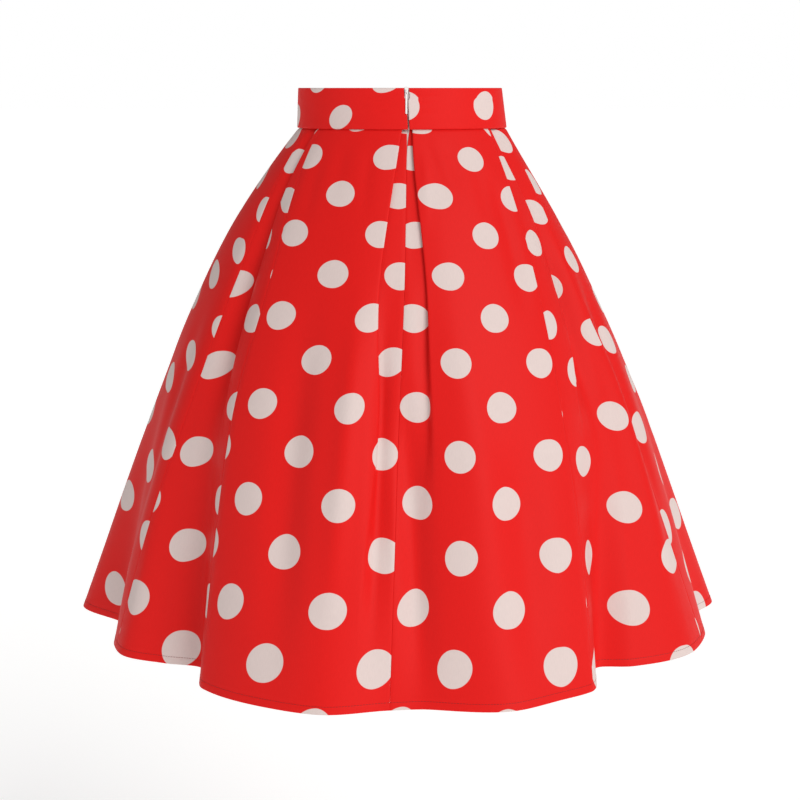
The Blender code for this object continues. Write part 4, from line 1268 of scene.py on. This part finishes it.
def make_stitching():
    """Hem stitches: small arched capsules in a row round the hem, on both faces."""
    hem = bpy.context.scene.skirt_hem
    rows = skirt_rows()
    levels = rows[1]
    row = len(levels) - 1 - HEM_ROWS.index(STITCH_ABOVE_HEM)
    shape, corners = capsule(STITCH_SHARE * hem.stitch, 0.5 * hem.thread)
    outwards, inwards = hem_offsets(levels)
    stitches = []
    for name in PRINTS:
        middle = panel_middle(name, rows)[row - 2:row + 3]
        normals = surface_normals(middle)
        for way, offset in ((1.0, float(outwards[row, 0, 0])), (-1.0, float(inwards[row, 0, 0]))):
            line = middle[2] + way * offset * normals[2]
            places, along, wanted, lengths = even_places(line, hem.stitch)
            up = along_line(wanted, lengths, way * normals[2])
            stitches.append(copies(shape, corners, places, along, up))
    points, quads = joined(stitches)
    piece = mesh_piece("hem_stitches", points, quads, [thread_finish()])
    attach(piece, "skirt")


def signed_power(value, power):
    """Size to a power, with the sign kept."""
    return np.sign(value) * np.abs(value) ** power


def closed_loft(rings):
    """Skin of a stack of closed rings, with both ends drawn together to their middles."""
    first = rings[:1].mean(axis=1, keepdims=True) + 0.0 * rings[:1]
    last = rings[-1:].mean(axis=1, keepdims=True) + 0.0 * rings[-1:]
    stack = np.concatenate([first, rings, last])
    return stack.reshape(-1, 3), wrapped_quads(len(stack), rings.shape[1])


def rod(path, wide, thick, sides, closed):
    """Rings of a rod: an ellipse carried along a path, wide across the path's plane."""
    if closed:
        way = np.roll(path, -1, axis=0) - np.roll(path, 1, axis=0)
    else:
        way = np.gradient(path, axis=0)
    way = way / np.linalg.norm(way, axis=1, keepdims=True)
    across = np.linalg.svd(path - path.mean(axis=0))[2][2]
    out = np.cross(way, across)
    angle = np.linspace(0.0, 2.0 * math.pi, sides, endpoint=False)[None, :, None]
    return path[:, None] + wide * np.cos(angle) * across + thick * np.sin(angle) * out[:, None]


def joined(parts):
    """One array of points and one of faces from several."""
    starts = np.cumsum([0] + [len(points) for points, _ in parts[:-1]])
    points = np.concatenate([points for points, _ in parts])
    corners = np.concatenate([quads + start for (_, quads), start in zip(parts, starts)])
    return points, corners


def sealed(piece):
    """Merges points that lie together and turns all faces outwards."""
    work = bmesh.new()
    work.from_mesh(piece.data)
    bmesh.ops.remove_doubles(work, verts=work.verts, dist=MERGE_DISTANCE)
    bmesh.ops.recalc_face_normals(work, faces=work.faces)
    work.to_mesh(piece.data)
    work.free()
    piece.data.shade_smooth()
    piece.data.set_sharp_from_angle(angle=SHARP_ANGLE)
    return piece


def slider_middle():
    """Middle of the slider: in the slit at the centre back, just above the band's top edge."""
    back = band_point(np.array(zip_turn()), BAND_TOP, 0.0)
    return float(back[0]), float(back[1]), SLIDER_TOP - 0.5 * SLIDER_HEIGHT


def make_slider():
    """Slider: rounded oblong rings up its height, drawn in at the middle by a smooth step and
    closed by quarter circles, with a round dent by a bell curve low on its front, and an arched
    bridge that the pull tab hangs from."""
    across, out, level = slider_middle()
    part = np.linspace(-1.0, 1.0, 57)
    wide = (SLIDER_WAIST + SLIDER_SHOULDERS * ease(-0.2, 0.7, part)
            + SLIDER_FOOT * ease(-0.3, -0.8, part))
    to_end = np.clip((np.abs(part) - 1.0 + SLIDER_END) / SLIDER_END, 0.0, 1.0)
    end = np.sqrt(np.clip(1.0 - to_end ** 2, 0.03, 1.0))
    angle = np.linspace(0.0, 2.0 * math.pi, 56, endpoint=False)
    groove = 1.0 - SLIDER_GROOVE * np.exp(-(np.sin(angle) / SLIDER_GROOVE_WIDTH) ** 2)
    half_width = 0.5 * SLIDER_WIDTH * (wide * end)[:, None] * groove
    x = half_width * signed_power(np.cos(angle), SLIDER_SQUARE)
    half_depth = (0.5 * SLIDER_DEPTH - SLIDER_INSET) * end[:, None]
    y = half_depth * signed_power(np.sin(angle), SLIDER_SQUARE)
    height = 0.5 * SLIDER_HEIGHT * part[:, None]
    dent = np.exp(-(x ** 2 + (height - SLIDER_DENT_LEVEL) ** 2) / SLIDER_DENT_RADIUS ** 2)
    y = y + SLIDER_DENT_DEPTH * dent * (y < 0.0)
    body = closed_loft(np.stack([across + x, out + y, level + height + 0.0 * x], axis=2))
    bend = np.linspace(0.0, math.pi, 21)
    path = np.stack([0.0 * bend + across, out - BRIDGE_ROOT - BRIDGE_REACH * np.sin(bend) ** 0.6,
                     level + BRIDGE_RISE * signed_power(np.cos(bend), 0.7)], axis=1)
    bridge = closed_loft(rod(path, BRIDGE_HALF, BRIDGE_THICK, 12, False))
    points, corners = joined([body, bridge])
    piece = sealed(mesh_piece("slider", points, corners, [lacquer_finish()]))
    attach(piece, "skirt")
    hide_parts("zip_slider")


def pull_outline(half, foot, corner):
    """Closed line round the pull tab: two small quarter circles at the top, straight sides and a
    half circle at the foot."""
    quarter = np.linspace(0.0, 0.5 * math.pi, 6)
    side = np.linspace(-corner, foot + half, 14)[1:-1]
    half_turn = np.linspace(0.0, math.pi, 15)
    x = np.concatenate([-(half - corner) - corner * np.cos(quarter),
                        (half - corner) + corner * np.sin(quarter), half + 0.0 * side,
                        half * np.cos(half_turn), -half + 0.0 * side])
    z = np.concatenate([corner * (np.sin(quarter) - 1.0), corner * (np.cos(quarter) - 1.0), side,
                        foot + half - half * np.sin(half_turn), side[::-1]])
    return np.stack([x, 0.0 * x, z], axis=1)


def make_pull_tab():
    """Pull tab: a round rim carried along a long rounded outline, a thin plate inside it below
    the eye, and a soft ridge down the plate's middle."""
    across, out, level = slider_middle()
    pivot = np.array([across, out - 0.5 * SLIDER_DEPTH - 0.5 * BRIDGE_HOLE, level])
    half = 0.5 * PULL_WIDTH - PULL_RIM
    foot = 0.5 * PULL_WALL - PULL_LENGTH + PULL_RIM
    rings = rod(pull_outline(half, foot, PULL_CORNER), PULL_RIM, PULL_RIM, 10, True)
    rings = np.concatenate([rings, rings[:1]])
    hoop = (rings.reshape(-1, 3), wrapped_quads(len(rings), 10))
    down = np.concatenate([np.linspace(PULL_EYE_FOOT, foot + half, 16),
                           foot + half - half * np.sin(np.linspace(0.0, 1.5, 7)[1:])])
    wide = np.sqrt(half ** 2 - np.clip(foot + half - down, 0.0, half) ** 2)[:, None]
    turns = np.linspace(0.0, 2.0 * math.pi, 24, endpoint=False)
    ridge = PULL_RIDGE * np.exp(-(np.cos(turns) / PULL_RIDGE_WIDTH) ** 2)
    thick = (PULL_PLATE + ridge) * signed_power(np.sin(turns), 0.6)
    plate = np.stack([wide * signed_power(np.cos(turns), 0.8), 0.0 * wide + thick,
                      down[:, None] + 0.0 * thick], axis=2)
    points, corners = joined([hoop, closed_loft(plate)])
    width, depth, _ = band_sizes(level - PULL_LENGTH)
    radius = float(oval_radius(np.array(zip_turn()), width, depth))
    face = -radius * math.cos(zip_turn()) - 0.5 * BAND_WALL
    hang = math.atan2(pivot[1] - (face - GAP - 0.5 * PULL_WALL), PULL_LENGTH)
    y = points[:, 1] * math.cos(hang) + points[:, 2] * math.sin(hang)
    z = points[:, 2] * math.cos(hang) - points[:, 1] * math.sin(hang)
    points = np.stack([points[:, 0], y, z], axis=1) + pivot
    piece = sealed(mesh_piece("pull_tab", points, corners, [lacquer_finish()]))
    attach(piece, "pull")
    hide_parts("zip_pull")


def make_teeth():
    """Closed coil: small arched capsules laid across the slit, one below the other, a hair in
    front of the tape, down to where the slit ends."""
    step = bpy.context.scene.skirt_zip.tooth
    shape, corners = capsule(COIL_WIDTH, COIL_RADIUS)
    levels = np.arange(SLIDER_TOP - SLIDER_HEIGHT, SEAM_LEVEL + 0.001, -step)
    deep = mix(TAPE_BAND_DEPTH, TAPE_SKIRT_DEPTH, ease(TAPE_SINKS, SEAM_LEVEL, levels))
    band = band_point(zip_turn() + 0.0 * levels, levels, deep - COIL_RADIUS)
    fall = np.arange(step, COIL_END * SKIRT_DROP, step) / SKIRT_DROP
    skirt = plan(seam_line(BACK_SEAM, fall), TAPE_SKIRT_DEPTH - COIL_RADIUS, fall)[:, 0]
    skirt = np.concatenate([skirt, (SEAM_LEVEL - SKIRT_DROP * fall)[:, None]], axis=1)
    places = np.concatenate([band, skirt])
    along = np.zeros_like(places)
    along[:, 0] = 1.0
    along[:, 2] = COIL_SLANT * np.where(np.arange(len(places)) % 2 == 0, 1.0, -1.0)
    up = np.zeros_like(places)
    up[:, 1] = -1.0
    points, quads = copies(shape, corners, places, along, up)
    piece = mesh_piece("coil_teeth", points, quads, [teeth_finish()])
    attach(piece, "skirt")


class SKIRT_OT_waistband(bpy.types.Operator):
    """Makes the waistband."""
    bl_idname = "skirt.waistband"
    bl_label = "Waistband"

    def execute(self, context):
        make_waistband()
        return {"FINISHED"}


class SKIRT_OT_back_panels(bpy.types.Operator):
    """Makes the two back panels with the box pleat between them."""
    bl_idname = "skirt.back_panels"
    bl_label = "Back panels"

    def execute(self, context):
        make_panels(("back_left", "back_right"))
        return {"FINISHED"}


class SKIRT_OT_side_panels(bpy.types.Operator):
    """Makes the two side gores with their knife pleats."""
    bl_idname = "skirt.side_panels"
    bl_label = "Side panels"

    def execute(self, context):
        make_panels(("side_left", "side_right"))
        return {"FINISHED"}


class SKIRT_OT_front_panels(bpy.types.Operator):
    """Makes the four front panels with their pleats."""
    bl_idname = "skirt.front_panels"
    bl_label = "Front panels"

    def execute(self, context):
        make_panels(("side_front_left", "side_front_right", "front_left", "front_right"))
        return {"FINISHED"}


class SKIRT_OT_stitching(bpy.types.Operator):
    """Sews the hem."""
    bl_idname = "skirt.stitching"
    bl_label = "Hem stitching"

    def execute(self, context):
        make_stitching()
        return {"FINISHED"}


class SKIRT_OT_zip(bpy.types.Operator):
    """Finishes the zip's tape and makes its slider, pull tab and coil."""
    bl_idname = "skirt.zip"
    bl_label = "Zip"

    def execute(self, context):
        finish = tape_finish()
        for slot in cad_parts["zip_tape"].material_slots:
            slot.material = finish
        make_slider()
        make_pull_tab()
        make_teeth()
        return {"FINISHED"}


class SKIRT_OT_stage(bpy.types.Operator):
    """Sets up the floor, the light and the camera at the photograph's viewing angle."""
    bl_idname = "skirt.stage"
    bl_label = "Floor, light and camera"

    def execute(self, context):
        make_stage(context.scene.skirt_stage)
        return {"FINISHED"}


def soft_lamp(name, kind, place, aim, spread, power, colour):
    """A square area light of that size, or a sun of that angle, at a place and facing the aim."""
    lamp = bpy.data.lights.new(name, kind)
    if kind == "AREA":
        lamp.shape = "SQUARE"
        lamp.size = spread
    else:
        lamp.angle = spread
    lamp.energy = power
    lamp.color = colour
    made = bpy.data.objects.new(name, lamp)
    made.location = place
    bpy.context.scene.collection.objects.link(made)
    away = np.array(place) - np.array(aim)
    flat = math.hypot(away[0], away[1])
    made.rotation_euler = (math.atan2(flat, away[2]), 0.0, math.atan2(away[0], -away[1]))


def make_stage(stage):
    """A wide pale floor far below the hem, light from all round and a wide key at the right."""
    scene = bpy.context.scene
    corners = np.array([[0, 1, 2, 3]])
    points = np.array([[-FLOOR_HALF, -FLOOR_HALF, stage.floor_level],
                       [FLOOR_HALF, -FLOOR_HALF, stage.floor_level],
                       [FLOOR_HALF, FLOOR_HALF, stage.floor_level],
                       [-FLOOR_HALF, FLOOR_HALF, stage.floor_level]])
    made, tree, shader = new_finish("pale floor")
    noise = on_object(tree, "ShaderNodeTexNoise", {"Scale": 3.0})
    shaded(tree, shader, stage.floor, noise.outputs[0], 0.985)
    set_inputs(shader, {"Roughness": 1.0, "Specular IOR Level": 0.0, "Emission Color": WHITE,
                        "Emission Strength": stage.glow})
    mesh_piece("floor", points, corners, [made])

    world = bpy.data.worlds.new("soft light")
    world.use_nodes = True
    back = world.node_tree.nodes["Background"]
    set_inputs(back, {"Color": WHITE})
    path = world.node_tree.nodes.new("ShaderNodeLightPath")
    seen = world.node_tree.nodes.new("ShaderNodeMapRange")
    world.node_tree.links.new(path.outputs["Is Camera Ray"], seen.inputs["Value"])
    set_inputs(seen, {"To Min": stage.around, "To Max": stage.backdrop})
    world.node_tree.links.new(seen.outputs[0], back.inputs["Strength"])
    scene.world = world

    soft_lamp("key", "SUN", KEY_PLACE, (0.0, 0.0, 0.0), stage.key_spread, stage.key,
              (1.0, 0.99, 0.97))
    soft_lamp("fill", "AREA", FILL_PLACE, (0.0, 0.0, -0.3), FILL_SIZE, stage.fill, WHITE[:3])

    lens = bpy.data.cameras.new("camera")
    lens.lens = stage.lens
    lens.sensor_width = 36.0
    lens.clip_start = 0.02
    lens.clip_end = 100.0
    camera = bpy.data.objects.new("camera", lens)
    camera.location = (0.0, -stage.distance, BAND_TOP)
    camera.rotation_euler = (0.5 * math.pi - stage.tilt, 0.0, 0.0)
    scene.collection.objects.link(camera)
    scene.camera = camera
    scene.view_settings.view_transform = "Standard"


class VIEW3D_PT_skirt(bpy.types.Panel):
    """Lists the pieces of the skirt and their settings."""
    bl_label = "Midi skirt"
    bl_idname = "VIEW3D_PT_skirt"
    bl_space_type = "VIEW_3D"
    bl_region_type = "UI"
    bl_category = "Skirt"

    def draw(self, context):
        layout = self.layout
        for title, group in SETTINGS.items():
            settings = getattr(context.scene, group[0])
            box = layout.box()
            box.label(text=title)
            for field in settings.bl_rna.properties:
                if not field.is_readonly and field.identifier != "name":
                    box.prop(settings, field.identifier)
        for piece in OPERATORS:
            layout.operator(piece.bl_idname)


SETTINGS = {
    "Cloth": ("skirt_cloth", SkirtCloth),
    "Print": ("skirt_print", SkirtPrint),
    "Hem": ("skirt_hem", SkirtHem),
    "Zip": ("skirt_zip", SkirtZip),
    "Stage": ("skirt_stage", SkirtStage),
}
OPERATORS = (
    SKIRT_OT_stage,
    SKIRT_OT_waistband,
    SKIRT_OT_back_panels,
    SKIRT_OT_side_panels,
    SKIRT_OT_front_panels,
    SKIRT_OT_stitching,
    SKIRT_OT_zip,
)


def register():
    for name, group in SETTINGS.values():
        bpy.utils.register_class(group)
        setattr(bpy.types.Scene, name, bpy.props.PointerProperty(type=group))
    for piece in OPERATORS:
        bpy.utils.register_class(piece)
    bpy.utils.register_class(VIEW3D_PT_skirt)


def unregister():
    bpy.utils.unregister_class(VIEW3D_PT_skirt)
    for piece in reversed(OPERATORS):
        bpy.utils.unregister_class(piece)
    for name, group in SETTINGS.values():
        delattr(bpy.types.Scene, name)
        bpy.utils.unregister_class(group)


def main():
    register()
    bpy.ops.skirt.stage()
    bpy.ops.skirt.waistband()
    bpy.ops.skirt.back_panels()
    bpy.ops.skirt.side_panels()
    bpy.ops.skirt.front_panels()
    bpy.ops.skirt.stitching()
    bpy.ops.skirt.zip()


if __name__ == "__main__":
    main()
